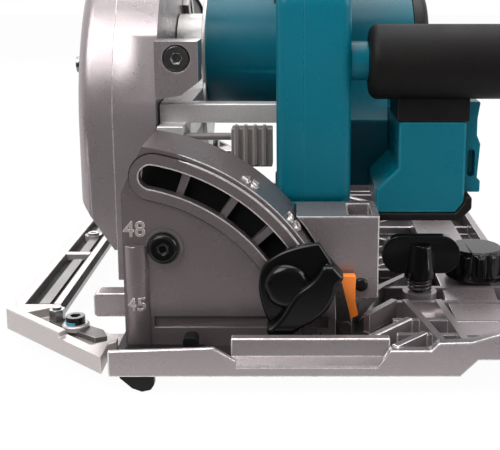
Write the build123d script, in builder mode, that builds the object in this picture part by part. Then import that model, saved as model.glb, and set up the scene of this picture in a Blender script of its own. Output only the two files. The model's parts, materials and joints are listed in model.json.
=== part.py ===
"""Rail-guided plunge-cut circular saw, 165 mm class, as one STEP file per component.

World frame in millimetres: the sole lies in z = 0, +X points to the motor side, -Y to the
front and +Z up. Everything is drawn in its rest pose: head raised, bevel at zero degrees.
"""

import os
from math import asin, atan2, cos, degrees, hypot, radians, sin

from build123d import *

# Fits and clearances
RUN_GAP = 0.05
SLIDE_GAP = 0.3
SWEEP_GAP = 0.6

# Main base
BASE_LEFT = -85.0
BASE_RIGHT = 97.0
BASE_FRONT = -150.0
BASE_REAR = 150.0
SOLE_T = 3.5
NOTCH_X = -54.0
NOTCH_FRONT = -108.0
RIB_T = 3.0
RIB_H = 12.0
SIDE_WALL_T = 4.0
RAIL_LEFT_FOOT = 55.0
RAIL_LEFT = 63.0
RAIL_RIGHT = 80.0
RAIL_DEPTH = 7.0
RAIL_ROOF = 3.5

# Outer frame on the blade side
FRAME_OUTER = -141.0
FRAME_INNER = -119.0
FRAME_TOP = 7.5
FRAME_FLOOR = 3.0

# Bevel axis, shared by both quadrants and by the carriage
BEVEL_X = -85.0
BEVEL_Z = -5.0
QUAD_Y = -127.0
QUAD_T = 5.0
QUAD_R = 95.3
QUAD_RIM_T = 4.0
QUAD_DEPTH = 40.0
SLOT_INSET = 11.8
SLOT_R = QUAD_R - SLOT_INSET
SLOT_W = 10.3
BOLT_ANGLE = 25.4
REAR_SLOT_R = 45.0
REAR_SLOT_W = 9.0
REAR_BOLT_ANGLE = 45.0
CLAMP_BOLT_R = 4.0

# Plunge pivot, blade and depth
PIVOT_Y = -70.0
PIVOT_Z = 40.0
PIN_R = 5.0
BLADE_X = -88.0
BLADE_D = 165.0
BLADE_T = 1.6
BLADE_TEETH = 24
HUB_Y = 15.0
HUB_Z = 87.0
CUT_DEPTH = 54.5

ARM = hypot(HUB_Y - PIVOT_Y, HUB_Z - PIVOT_Z)
REST_ANGLE = degrees(atan2(HUB_Z - PIVOT_Z, HUB_Y - PIVOT_Y))
DEEP_Z = BLADE_D / 2 - CUT_DEPTH
DEEP_ANGLE = degrees(asin((DEEP_Z - PIVOT_Z) / ARM))
TILT = REST_ANGLE - DEEP_ANGLE

# Gear pair between motor and blade
MODULE = 1.25
GEAR_TEETH = 36
PINION_TEETH = 11
GEAR_W = 8.0
CENTRES = MODULE * (GEAR_TEETH + PINION_TEETH) / 2
GEARBOX_R = 26.2
MOTOR_LEAN = 80.0
MOTOR_Y = HUB_Y + CENTRES * cos(radians(MOTOR_LEAN))
MOTOR_Z = HUB_Z + CENTRES * sin(radians(MOTOR_LEAN))
MOTOR_R = 32.0
MOTOR_WALL = 2.5
MOTOR_LEFT = -58.0
MOTOR_RIGHT = 52.0

# Blade case, fixed to the carriage
CASE_LEFT = -112.0
CASE_SEAM = -95.0
CASE_RIGHT = -75.0
CASE_WALL = 3.0
CASE_R = 89.0
CASE_BOTTOM = 14.0
CASE_TO_QUAD = 5.9
SNOUT_R = 17.0

# Rear end, set behind the sweep of the blade case
REAR_QUAD_Y = PIVOT_Y + ARM + CASE_R + CASE_TO_QUAD + QUAD_T
NOTCH_REAR = REAR_QUAD_Y - 7
FRAME_REAR = REAR_QUAD_Y - 2

# Head mouldings
ARM_LEFT = -19.0
ARM_SPLIT = -6.6
ARM_RIGHT = 15.0
TONGUE = 12.0
TONGUE_R = 11.0
GRIP_Y = -76.0
GRIP_Z = 119.0
GRIP_R = 17.0
BATTERY_LEFT = -36.0
BATTERY_RIGHT = 40.0

os.makedirs("parts", exist_ok=True)


def save(piece, name):
    """Label a finished component and write its STEP file."""
    piece.part.label = name
    export_step(piece.part, f"parts/{name}.step")


def side(x):
    """Plane across the saw at one X, drawn in world (Y, Z)."""
    return Plane(origin=(x, 0, 0), x_dir=(0, 1, 0), z_dir=(1, 0, 0))


def level(x):
    """Plane across the head at one X, drawn level as at full depth, from the plunge pivot."""
    back = (0, cos(radians(TILT)), sin(radians(TILT)))
    return Plane(origin=(x, PIVOT_Y, PIVOT_Z), x_dir=back, z_dir=(1, 0, 0))


def front(y):
    """Plane facing the front at one Y, drawn in world (X, Z)."""
    return Plane(origin=(0, y, 0), x_dir=(1, 0, 0), z_dir=(0, -1, 0))


def bevel(y):
    """Plane facing the front at one Y, drawn from the bevel axis."""
    return Plane(origin=(BEVEL_X, y, BEVEL_Z), x_dir=(1, 0, 0), z_dir=(0, -1, 0))


def slab(plane, points, depth, mode=Mode.ADD, corner=0):
    """Extrude a closed straight-sided outline, with its corners rounded if asked."""
    with BuildSketch(plane) as outline:
        with BuildLine():
            Polyline(*points, close=True)
        make_face()
        if corner:
            fillet(outline.vertices(), corner)
    extrude(outline.sketch, amount=depth, mode=mode)


def disc(plane, centre, radius, depth, mode=Mode.ADD):
    """Extrude a circle."""
    with BuildSketch(plane) as outline:
        with Locations(centre):
            Circle(radius)
    extrude(outline.sketch, amount=depth, mode=mode)


def ring(plane, centre, outer, inner, depth, mode=Mode.ADD):
    """Extrude a circle with a concentric hole."""
    with BuildSketch(plane) as outline:
        with Locations(centre):
            Circle(outer)
            Circle(inner, mode=Mode.SUBTRACT)
    extrude(outline.sketch, amount=depth, mode=mode)


def sector(plane, inner, outer, start, end, depth, mode=Mode.ADD):
    """Extrude part of a ring about the plane's origin, angles in degrees."""
    with BuildSketch(plane) as outline:
        with BuildLine():
            rim = CenterArc((0, 0), outer, start, end - start)
            core = CenterArc((0, 0), inner, start, end - start)
            Line(rim @ 0, core @ 0)
            Line(rim @ 1, core @ 1)
        make_face()
    extrude(outline.sketch, amount=depth, mode=mode)


def arc_slot(plane, radius, width, start, end, depth, mode=Mode.SUBTRACT):
    """Extrude a round-ended slot that follows an arc about the plane's origin."""
    with BuildSketch(plane) as outline:
        with BuildLine(mode=Mode.PRIVATE) as path:
            CenterArc((0, 0), radius, start, end - start)
        SlotArc(path.edges()[0], width)
    extrude(outline.sketch, amount=depth, mode=mode)


def block(x0, x1, y0, y1, z0, z1, mode=Mode.ADD):
    """Box between world limits."""
    with Locations(((x0 + x1) / 2, (y0 + y1) / 2, (z0 + z1) / 2)):
        Box(x1 - x0, y1 - y0, z1 - z0, mode=mode)


def rib(start, end, height, base=SOLE_T, width=RIB_T):
    """Upright rib between two plan points, rising from the sole."""
    run = (end[0] - start[0], end[1] - start[1])
    with BuildSketch(Plane.XY.offset(base)) as outline:
        with Locations(((start[0] + end[0]) / 2, (start[1] + end[1]) / 2)):
            Rectangle(hypot(*run), width, rotation=degrees(atan2(run[1], run[0])))
    extrude(outline.sketch, amount=height - base)


def on_circle(radius, angle, centre=(0, 0)):
    """Point on a circle at an angle in degrees."""
    return (centre[0] + radius * cos(radians(angle)), centre[1] + radius * sin(radians(angle)))


def gear(plane, centre, teeth, phase, depth):
    """Extrude a spur gear whose straight-flanked teeth leave working backlash."""
    pitch = 360 / teeth
    radius = MODULE * teeth / 2
    flank = (
        (radius - 1.15 * MODULE, 0.30),
        (radius, 0.22),
        (radius + 0.9 * MODULE, 0.115),
    )
    points = []
    for tooth in range(teeth):
        middle = phase + tooth * pitch
        points += [on_circle(r, middle - half * pitch, centre) for r, half in flank]
        points += [on_circle(r, middle + half * pitch, centre) for r, half in reversed(flank)]
    slab(plane, points, depth)


# Main base: ribbed casting with the rail groove in its sole
SOLE_OUTLINE = (
    (BASE_LEFT, BASE_FRONT),
    (BASE_RIGHT, BASE_FRONT),
    (BASE_RIGHT, BASE_REAR),
    (BASE_LEFT, BASE_REAR),
    (BASE_LEFT, NOTCH_REAR),
    (NOTCH_X, NOTCH_REAR),
    (NOTCH_X, NOTCH_FRONT),
    (BASE_LEFT, NOTCH_FRONT),
)
HUMP_LEFT = RAIL_LEFT - RAIL_ROOF
HUMP_RIGHT = RAIL_RIGHT + RAIL_ROOF
HUMP_TOP = RAIL_DEPTH + RAIL_ROOF
FRONT_WALL_TOP = 15.0
LEFT_WALL_TOP = 11.0
PANEL_LEFT = -36.0
PANEL_RIGHT = 28.0
FENCE_X = 48.0
FENCE_Y = -82.0
FENCE_REAR_X = 62.0
FENCE_REAR_Y = 118.0
KNOB_X = 78.0
KNOB_Y = -60.0
KNOB_REAR_Y = 84.0
BOSS_R = 8.0
STEM_R = 3.0
REAR_RIB_Y = REAR_QUAD_Y - QUAD_T - 4
CROSS_RIBS = (-132.0, -116.0, -94.0, -75.0, -40.0, 0.0, 40.0, 80.0, REAR_RIB_Y)
DIAGONAL_RIBS = (
    ((17, -99), (31, -75)),
    ((21, -112.5), (35, -94)),
    ((21, -136), (39.6, -116)),
    ((30, -146), (44, -132)),
    ((40, -94), (51, -146)),
    ((55, -94), (60, -146)),
    ((31, -75), (60, -40)),
    ((8, -40), (58, 0)),
    ((58, 0), (8, 40)),
    ((8, 40), (58, 80)),
    ((58, 80), (20, REAR_RIB_Y)),
    ((-50, -40), (-8, -75)),
    ((-50, 40), (-10, 80)),
)
TONGUE_FRONT = -147.6
TONGUE_BACK = -143.6
TONGUE_LEFT = -81.0
TONGUE_RIGHT = -67.0
TONGUE_DROP = 7.5
SLIDE_TRAVEL = 9.0

with BuildPart() as base_plate:
    slab(Plane.XY, SOLE_OUTLINE, SOLE_T)
    fillet(base_plate.edges().filter_by(Axis.Z).group_by(Axis.X)[-1], 10)
    block(HUMP_LEFT, HUMP_RIGHT, BASE_FRONT + 2, BASE_REAR - 10, SOLE_T, HUMP_TOP)
    slab(
        side(PANEL_LEFT),
        (
            (BASE_FRONT, 0),
            (BASE_FRONT, 4.4),
            (BASE_FRONT + 2.6, 8),
            (BASE_FRONT + 3.4, FRONT_WALL_TOP),
            (BASE_FRONT + 8, FRONT_WALL_TOP),
            (BASE_FRONT + 8, 0),
        ),
        PANEL_RIGHT - PANEL_LEFT,
    )
    slab(
        front(BASE_FRONT),
        (
            (PANEL_RIGHT - 8, 0),
            (PANEL_RIGHT, 11.2),
            (44, 11.2),
            (47, 14.4),
            (60, 14.8),
            (72, 18.4),
            (86, 18.4),
            (86, 0),
        ),
        -5,
    )
    slab(
        front(BASE_FRONT),
        (
            (BASE_LEFT, 0),
            (BASE_LEFT, LEFT_WALL_TOP),
            (PANEL_LEFT - 7, LEFT_WALL_TOP + 1.4),
            (PANEL_LEFT + 2, 7),
            (PANEL_LEFT + 2, 0),
        ),
        -2.2,
    )
    block(BASE_RIGHT - SIDE_WALL_T, BASE_RIGHT, -138, 138, SOLE_T, RIB_H)
    block(-80, 86, BASE_REAR - SIDE_WALL_T, BASE_REAR, SOLE_T, RIB_H - 2)
    block(NOTCH_X, NOTCH_X + SIDE_WALL_T, -70, NOTCH_REAR, SOLE_T, 8)
    for rib_y in CROSS_RIBS:
        rib_start = 32 if rib_y < -70 else NOTCH_X + 2
        rib((rib_start, rib_y), (BASE_RIGHT - 2, rib_y), RIB_H - 1 if rib_y < -70 else 8)
    for start, end in DIAGONAL_RIBS:
        rib(start, end, RIB_H if start[1] < -70 else 8)
    for boss in ((FENCE_X, FENCE_Y), (FENCE_REAR_X, FENCE_REAR_Y), (KNOB_X, KNOB_Y), (KNOB_X, KNOB_REAR_Y)):
        disc(Plane.XY.offset(SOLE_T), boss, BOSS_R, RIB_H - SOLE_T)
    slab(
        front(BASE_FRONT - 1),
        ((RAIL_LEFT_FOOT, -1), (RAIL_LEFT, RAIL_DEPTH), (RAIL_RIGHT, RAIL_DEPTH), (RAIL_RIGHT, -1)),
        -(BASE_REAR - BASE_FRONT + 2),
        mode=Mode.SUBTRACT,
    )
    for boss in ((FENCE_X, FENCE_Y), (FENCE_REAR_X, FENCE_REAR_Y), (KNOB_X, KNOB_Y), (KNOB_X, KNOB_REAR_Y)):
        disc(Plane.XY.offset(8.5), boss, STEM_R + RUN_GAP, 10, mode=Mode.SUBTRACT)
    block(
        TONGUE_LEFT - SLIDE_GAP - 4,
        TONGUE_RIGHT + SLIDE_TRAVEL + SLIDE_GAP,
        TONGUE_FRONT - SLIDE_GAP,
        TONGUE_BACK + SLIDE_GAP,
        -1,
        LEFT_WALL_TOP - 3,
        mode=Mode.SUBTRACT,
    )
save(base_plate, "base_plate")

# Anti-tip slide: thumb tab in the front pocket, hook below the sole
TAB_X = -53.0
with BuildPart() as anti_tip_slide:
    block(TONGUE_LEFT, TAB_X + 5, TONGUE_BACK - 4, -132, SOLE_T + SLIDE_GAP, SOLE_T + 3)
    slab(
        front(TONGUE_FRONT),
        (
            (TONGUE_LEFT, SOLE_T + 3),
            (TONGUE_LEFT, -1.5),
            (TONGUE_LEFT + 5, -TONGUE_DROP + 1.5),
            (TONGUE_LEFT + 9, -TONGUE_DROP),
            (TONGUE_RIGHT - 1.5, -TONGUE_DROP + 0.8),
            (TONGUE_RIGHT, -TONGUE_DROP + 3),
            (TONGUE_RIGHT, SOLE_T + 3),
        ),
        -(TONGUE_BACK - TONGUE_FRONT),
    )
    block(TAB_X - 3, TAB_X + 3, -141, -134, SOLE_T + 3, 13)
    fillet(anti_tip_slide.edges().filter_by(Axis.Y).group_by(Axis.Z)[-1], 2)
save(anti_tip_slide, "anti_tip_slide")

# Outer frame: hollow bar, slanted front arm and rear bridge
FRAME_FRONT_TOP = 10.0
with BuildPart() as sub_base:
    slab(
        Plane.XY,
        (
            (FRAME_OUTER, -100),
            (-88, -148),
            (-88, -134),
            (BASE_LEFT, -131),
            (BASE_LEFT, -112),
            (-92, -112),
            (FRAME_INNER, -90),
            (FRAME_INNER, FRAME_REAR),
            (BASE_LEFT, FRAME_REAR),
            (BASE_LEFT, BASE_REAR - 6),
            (FRAME_OUTER + 8, BASE_REAR),
            (FRAME_OUTER, BASE_REAR - 8),
        ),
        FRAME_TOP,
    )
    slab(
        Plane.XY.offset(FRAME_TOP),
        ((FRAME_OUTER, -100), (-110, -128), (-107.5, -124.5), (FRAME_OUTER + 4, -98), (FRAME_OUTER, -86)),
        FRAME_FRONT_TOP - FRAME_TOP,
    )
    block(FRAME_OUTER + 5, FRAME_INNER - 4, -88, -12, FRAME_FLOOR, FRAME_TOP + 1, mode=Mode.SUBTRACT)
    block(FRAME_OUTER + 5, FRAME_INNER - 4, -8, 60, FRAME_FLOOR, FRAME_TOP + 1, mode=Mode.SUBTRACT)
    block(FRAME_OUTER + 5, FRAME_INNER - 4, 64, 138, FRAME_FLOOR, FRAME_TOP + 1, mode=Mode.SUBTRACT)
    slab(
        Plane.XY.offset(FRAME_FLOOR),
        ((-134, -99.6), (-95, -134.9), (-83, -126), (-83, -108), (-92, -108), (-116, -88)),
        10,
        mode=Mode.SUBTRACT,
    )
save(sub_base, "sub_base")

LINK_BOLT_X = -107.0
with BuildPart() as sub_base_link:
    slab(
        Plane.XY.offset(FRAME_FLOOR),
        ((-121, -103), (-116, -99), (-94, -114), (-91, -121), (-96, -123), (-118, -106)),
        2.5,
    )
    disc(Plane.XY.offset(FRAME_FLOOR), (LINK_BOLT_X, -110.5), 3.2, 4, mode=Mode.SUBTRACT)
save(sub_base_link, "sub_base_link")

with BuildPart() as link_bolt:
    disc(Plane.XY.offset(FRAME_FLOOR), (LINK_BOLT_X, -110.5), 3.0, 2.5)
    disc(Plane.XY.offset(FRAME_FLOOR + 2.5), (LINK_BOLT_X, -110.5), 5.5, 1.2)
    disc(Plane.XY.offset(FRAME_FLOOR + 3.7), (LINK_BOLT_X, -110.5), 4.2, 4.0)
    with BuildSketch(Plane.XY.offset(FRAME_FLOOR + 7.8)):
        with Locations((LINK_BOLT_X, -110.5)):
            RegularPolygon(2.3, 6)
    extrude(amount=-2.4, mode=Mode.SUBTRACT)
save(link_bolt, "link_bolt")

# Front quadrant: slotted plate under a deep curved rim
RIM_START = 18.0
RIM_END = 82.5
STOP_SCREW_X = -64.7
STOP_SCREW_Z = 46.9
with BuildPart() as front_quadrant:
    with BuildSketch(bevel(QUAD_Y)):
        with BuildLine():
            foot = SOLE_T - BEVEL_Z
            right = QUAD_R - 3.5
            rim_low = degrees(asin((QUAD_R**2 - right**2) ** 0.5 / QUAD_R))
            rim_arc = CenterArc((0, 0), QUAD_R, rim_low, RIM_END - rim_low)
            Polyline(rim_arc @ 1, (3.2, QUAD_R - 20.3), (3.2, foot), (right, foot), rim_arc @ 0)
        make_face()
    extrude(amount=-QUAD_T)
    sector(bevel(QUAD_Y), QUAD_R - QUAD_RIM_T, QUAD_R, RIM_START, RIM_END, -QUAD_DEPTH)
    arc_slot(bevel(QUAD_Y), SLOT_R, SLOT_W + 9, 22, 78.5, 1.2, mode=Mode.ADD)
    arc_slot(bevel(QUAD_Y + QUAD_T + 1), SLOT_R, SLOT_W, 21, 79, QUAD_T + 4)
    disc(Plane.XY.offset(SOLE_T), (-76, QUAD_Y + 1.5), 5.2, 44.5)
    block(-82, -70, QUAD_Y + QUAD_T, QUAD_Y + 12, SOLE_T, 49, mode=Mode.SUBTRACT)
    slab(front(QUAD_Y), ((-69.5, 11.5), (-69.5, 16.8), (4, 16.8), (4, 11.5)), -1.5, mode=Mode.SUBTRACT)
    ring(front(QUAD_Y), (STOP_SCREW_X, STOP_SCREW_Z), 8.2, 6.9, 0.8)
    disc(front(QUAD_Y - 2), (STOP_SCREW_X, STOP_SCREW_Z), 2.55, -9, mode=Mode.SUBTRACT)
save(front_quadrant, "front_quadrant")

with BuildPart() as stop_screw:
    disc(front(QUAD_Y + QUAD_T), (STOP_SCREW_X, STOP_SCREW_Z), 2.5, QUAD_T)
    disc(front(QUAD_Y), (STOP_SCREW_X, STOP_SCREW_Z), 5.3, 3.2)
    fillet(stop_screw.edges().group_by(Axis.Y)[0], 2.2)
    with BuildSketch(front(QUAD_Y - 3.2)):
        with Locations((STOP_SCREW_X, STOP_SCREW_Z)):
            RegularPolygon(1.9, 6)
    extrude(amount=-2, mode=Mode.SUBTRACT)
save(stop_screw, "stop_screw")

STOP_BLOCK_LEFT = -96.0
STOP_BLOCK_W = 20.0
STOP_BLOCK_D = 8.5
STOP_BLOCK_Z = 14.5
STOP_BLOCK_H = 10.5
with BuildPart() as zero_stop_block:
    block(
        STOP_BLOCK_LEFT,
        STOP_BLOCK_LEFT + STOP_BLOCK_W,
        QUAD_Y + QUAD_T,
        QUAD_Y + QUAD_T + STOP_BLOCK_D,
        STOP_BLOCK_Z,
        STOP_BLOCK_Z + STOP_BLOCK_H,
    )
    chamfer(zero_stop_block.edges().filter_by(Axis.Y), 1.2)
save(zero_stop_block, "zero_stop_block")

# Pointer plate, whose hole carries the pin of the negative-bevel lever
QUAD_EDGE_X = BEVEL_X + QUAD_R
LEVER_X = QUAD_EDGE_X + 1.0
LEVER_Z = 9.7
LEVER_PIN_R = 1.8
with BuildPart() as pointer_plate:
    slab(
        front(-119.6),
        (
            (QUAD_EDGE_X - 3.7, 29.5),
            (QUAD_EDGE_X - 0.7, 29.5),
            (QUAD_EDGE_X + 2.5, 17),
            (QUAD_EDGE_X + 3.5, 11.7),
            (QUAD_EDGE_X + 3.5, SOLE_T),
            (QUAD_EDGE_X - 7.3, SOLE_T),
            (QUAD_EDGE_X - 6.3, 6.3),
            (QUAD_EDGE_X - 2.9, 13),
        ),
        1.6,
    )
    disc(front(-119), (LEVER_X, LEVER_Z), LEVER_PIN_R + RUN_GAP, 4, mode=Mode.SUBTRACT)
save(pointer_plate, "pointer_plate")

# Lever for the one-degree negative bevel
with BuildPart() as minus_one_lever:
    slab(
        front(-114.4),
        (
            (QUAD_EDGE_X - 0.9, 7.4),
            (QUAD_EDGE_X - 0.5, 14),
            (QUAD_EDGE_X - 1.1, 25),
            (QUAD_EDGE_X - 0.7, 31.6),
            (QUAD_EDGE_X + 5.5, 31.6),
            (QUAD_EDGE_X + 5.2, 20.7),
            (QUAD_EDGE_X + 6.6, 13.6),
            (QUAD_EDGE_X + 3.9, 12.6),
            (QUAD_EDGE_X + 3.3, 7.4),
        ),
        3.8,
        corner=1.0,
    )
    disc(front(-116), (LEVER_X, LEVER_Z), LEVER_PIN_R, 5.8)
save(minus_one_lever, "minus_one_lever")

# Rear quadrant
with BuildPart() as rear_quadrant:
    with BuildSketch(bevel(REAR_QUAD_Y)):
        with BuildLine():
            rear_arc = CenterArc((0, 0), 54, 9.5, 98.5)
            Polyline(rear_arc @ 1, (-8, 30), (2, foot), (52, foot), rear_arc @ 0)
        make_face()
    extrude(amount=QUAD_T)
    arc_slot(bevel(REAR_QUAD_Y + 1), REAR_SLOT_R, REAR_SLOT_W, 41, 97, QUAD_T + 2)
    block(BASE_LEFT + 3, -34, REAR_QUAD_Y, REAR_QUAD_Y + 9, SOLE_T, 9)
save(rear_quadrant, "rear_quadrant")


POST_Z = 19.0
POST_R = 7.4
POST_H = 16.0
POST_TAPER = 6.5
WING_T = 5.2
WING_L = 36.0
WING_H = 18.0
WING_Z = 30.0


def wing_screw(x, y):
    """Clamp screw with an oval wing, standing on its boss."""
    disc(Plane.XY.offset(8.6), (x, y), STEM_R, 11)
    with BuildSketch(Plane.XY.offset(POST_Z)) as post_foot:
        with Locations((x, y)):
            Circle(POST_R)
    extrude(post_foot.sketch, amount=POST_H, taper=POST_TAPER)
    with BuildSketch(front(y - WING_T / 2)) as wing:
        with Locations((x, WING_Z)):
            Ellipse(WING_L / 2, WING_H / 2)
    extrude(wing.sketch, amount=-WING_T)


with BuildPart() as fence_screw_front:
    wing_screw(FENCE_X, FENCE_Y)
save(fence_screw_front, "fence_screw_front")

with BuildPart() as fence_screw_rear:
    wing_screw(FENCE_REAR_X, FENCE_REAR_Y)
save(fence_screw_rear, "fence_screw_rear")


def coil(x, y, z0, z1, radius, wire, turns):
    """Open round-wire spring standing on a boss."""
    with BuildLine(mode=Mode.PRIVATE) as path:
        Helix((z1 - z0) / turns, z1 - z0, radius, center=(x, y, z0))
    start = path.edges()[0]
    with BuildSketch(Plane(origin=start @ 0, z_dir=start % 0)) as section:
        Circle(wire)
    sweep(section.sketch, path=path.line)


SPRING_WIRE = 0.7
SPRING_FOOT = RIB_H + SPRING_WIRE + 0.1
SPRING_HEAD = POST_Z - SPRING_WIRE - SLIDE_GAP
with BuildPart() as fence_spring_front:
    coil(FENCE_X, FENCE_Y, SPRING_FOOT, SPRING_HEAD, 5, SPRING_WIRE, 3)
save(fence_spring_front, "fence_spring_front")

with BuildPart() as fence_spring_rear:
    coil(FENCE_REAR_X, FENCE_REAR_Y, SPRING_FOOT, SPRING_HEAD, 5, SPRING_WIRE, 3)
save(fence_spring_rear, "fence_spring_rear")


KNOB_R = 15.0
KNOB_H = 12.0
KNOB_CROWN = 2.5


def rail_knob(y):
    """Fluted knob that takes up play on the guide rail."""
    disc(Plane.XY.offset(8.6), (KNOB_X, y), STEM_R, 5)
    disc(Plane.XY.offset(RIB_H + SLIDE_GAP), (KNOB_X, y), KNOB_R, KNOB_H)
    with BuildSketch(Plane.XY.offset(RIB_H + SLIDE_GAP + KNOB_H)) as crown:
        with Locations((KNOB_X, y)):
            Circle(KNOB_R)
    extrude(crown.sketch, amount=KNOB_CROWN, taper=50)
    with BuildSketch(Plane.XY.offset(RIB_H + SLIDE_GAP + 3)) as flutes:
        with Locations((KNOB_X, y)):
            with PolarLocations(KNOB_R + 0.9, 14):
                Circle(2.2)
    extrude(flutes.sketch, amount=20, mode=Mode.SUBTRACT)


with BuildPart() as rail_knob_front:
    rail_knob(KNOB_Y)
save(rail_knob_front, "rail_knob_front")

with BuildPart() as rail_knob_rear:
    rail_knob(KNOB_REAR_Y)
save(rail_knob_rear, "rail_knob_rear")

# Carriage: front bracket with the sector behind the slot, the pivot cheeks and the beam
BOX_RIGHT = 26.0
BOX_TOP = 56.0
BOX_FLOOR = 19.0
BOX_FRONT = -112.0
BOX_BACK = QUAD_Y + QUAD_DEPTH + SWEEP_GAP
SECTOR_R = QUAD_R - QUAD_RIM_T - 1.2
RIM_CLEAR = QUAD_R + 1.5
BAR_L = 20.0
CHEEK_R = 12.0
CHEEK_GAP = 0.4
BEAM_TOP = 34.0
bolt_x, bolt_z = on_circle(SLOT_R, BOLT_ANGLE, (BEVEL_X, BEVEL_Z))

with BuildPart() as front_bracket:
    sector(bevel(-113), 40, SECTOR_R, 16.5, 76, 4)
    for rib_angle in (28, 42, 55, 70):
        with BuildSketch(bevel(-117)):
            with Locations(Rotation(0, 0, rib_angle) * Pos(SECTOR_R - BAR_L / 2, 0)):
                Rectangle(BAR_L, 3.2)
        extrude(amount=4)
    block(-62, -22, -113, BOX_BACK + 4, 17, BEAM_TOP)
    with BuildSketch(bevel(BOX_FRONT)):
        with BuildLine():
            low = degrees(asin((BOX_FLOOR - BEVEL_Z) / RIM_CLEAR))
            high = degrees(asin((BOX_TOP - BEVEL_Z) / RIM_CLEAR))
            box_arc = CenterArc((0, 0), RIM_CLEAR, low, high - low)
            Polyline(
                box_arc @ 1,
                (BOX_RIGHT - BEVEL_X, BOX_TOP - BEVEL_Z),
                (BOX_RIGHT - BEVEL_X, BOX_FLOOR - BEVEL_Z),
                box_arc @ 0,
            )
        make_face()
    extrude(amount=-(BOX_BACK - BOX_FRONT))
    block(13, BOX_RIGHT - 3, BOX_FRONT + 4, BOX_BACK - 3, 32, BOX_TOP + 1, mode=Mode.SUBTRACT)
    for cheek_x, cheek_w in ((ARM_LEFT - 4, ARM_LEFT + 4 - ARM_LEFT + 2.6), (TONGUE + CHEEK_GAP, 13.6)):
        disc(side(cheek_x), (PIVOT_Y, PIVOT_Z), CHEEK_R, cheek_w)
        slab(
            side(cheek_x),
            (
                (BOX_BACK, BOX_FLOOR),
                (BOX_BACK, PIVOT_Z + 4),
                (PIVOT_Y, PIVOT_Z + CHEEK_R),
                (PIVOT_Y + CHEEK_R, PIVOT_Z),
                (PIVOT_Y + CHEEK_R, BOX_FLOOR),
            ),
            cheek_w,
        )
    block(ARM_LEFT - 4, BOX_RIGHT, BOX_BACK, PIVOT_Y + CHEEK_R, BOX_FLOOR, 26)
    block(CASE_RIGHT, ARM_LEFT, BOX_BACK, PIVOT_Y + CHEEK_R, BOX_FLOOR, BEAM_TOP)
    disc(side(ARM_LEFT - 5), (PIVOT_Y, PIVOT_Z), PIN_R, BOX_RIGHT - ARM_LEFT + 2, mode=Mode.SUBTRACT)
    disc(front(-110), (bolt_x, bolt_z), CLAMP_BOLT_R, 14, mode=Mode.SUBTRACT)
save(front_bracket, "front_bracket")

with BuildPart() as pivot_pin:
    disc(side(ARM_LEFT - 4), (PIVOT_Y, PIVOT_Z), PIN_R, 23 - ARM_LEFT + 4)
save(pivot_pin, "pivot_pin")

LEVER_BACK = QUAD_Y - 1.2 - SLIDE_GAP


def lever_face(stand):
    """Plane in front of the clamp lever's back, drawn from its bolt."""
    return Plane(origin=(bolt_x, LEVER_BACK - stand, bolt_z), x_dir=(1, 0, 0), z_dir=(0, -1, 0))


with BuildPart() as bevel_bolt_front:
    disc(front(-113), (bolt_x, bolt_z), CLAMP_BOLT_R, -113 - LEVER_BACK + 6)
save(bevel_bolt_front, "bevel_bolt_front")

LEVER_HUB_R = 13.8
LEVER_STAND = 2.6
LEVER_T = 8.5
SKIRT_T = 3.4
DOME_R = 9.5
DOME_RISE = 3.6
DOME_AT = (-4.0, 2.2)
SKIRT_EDGE = ((9.3, 19.8), (-4.6, 16.8), (-13.2, 10.6), (-15.6, 2.6), (-14.6, -5.5), (-11.5, -14.5))
CREST = ((10.4, 11.6), (6.8, 5.8), (-0.2, 0), (-5.9, -9), (-12.2, -14.8))
GRIP_EDGE = ((-4.6, -21.2), (1, -15.6), (9, -10.6), (14.8, -3), (16.4, 3))
with BuildPart() as lever_grip:
    with BuildSketch(lever_face(LEVER_STAND)) as grip_outline:
        with BuildLine():
            crest = Spline(*CREST)
            ThreePointArc(crest @ 1, (-10.4, -19.8), GRIP_EDGE[0])
            Spline(*GRIP_EDGE)
            Polyline(GRIP_EDGE[-1], (19.4, 6.6), (15, 11.4), crest @ 0)
        make_face()
        fillet(grip_outline.vertices(), 1.2)
    extrude(grip_outline.sketch, amount=LEVER_T)
    fillet(lever_grip.edges().group_by(Axis.Y)[0], 2)

with BuildPart() as bevel_lever_front:
    with BuildSketch(lever_face(LEVER_STAND)) as skirt:
        with BuildLine():
            edge = Spline(*SKIRT_EDGE)
            Polyline(edge @ 1, (0, -12), (14, 0), (19, 7), (12.6, 14.6), edge @ 0)
        make_face()
    extrude(skirt.sketch, amount=SKIRT_T)
    fillet(bevel_lever_front.edges().group_by(Axis.Y)[0], 1.2)
    disc(front(LEVER_BACK), (bolt_x, bolt_z), LEVER_HUB_R, LEVER_STAND + SKIRT_T / 2)
    disc(lever_face(LEVER_STAND), DOME_AT, DOME_R, SKIRT_T + DOME_RISE)
    fillet(bevel_lever_front.edges().group_by(Axis.Y)[0], 0.95 * DOME_RISE)
    add(lever_grip.part)
    disc(front(LEVER_BACK + 1), (bolt_x, bolt_z), CLAMP_BOLT_R + RUN_GAP, 7.2, mode=Mode.SUBTRACT)
save(bevel_lever_front, "bevel_lever_front")


def case_outline(radius):
    """Side outline of the blade case in world (Y, Z), the sweep of the plunging blade."""
    reach = ARM + radius
    low = degrees(asin((CASE_BOTTOM - PIVOT_Z) / reach))
    dome = CenterArc((HUB_Y, HUB_Z), radius, REST_ANGLE, 180 - REST_ANGLE)
    heel = CenterArc((PIVOT_Y, PIVOT_Z), reach, low, REST_ANGLE - low)
    Polyline(dome @ 1, (HUB_Y - radius, CASE_BOTTOM), heel @ 0)


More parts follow.
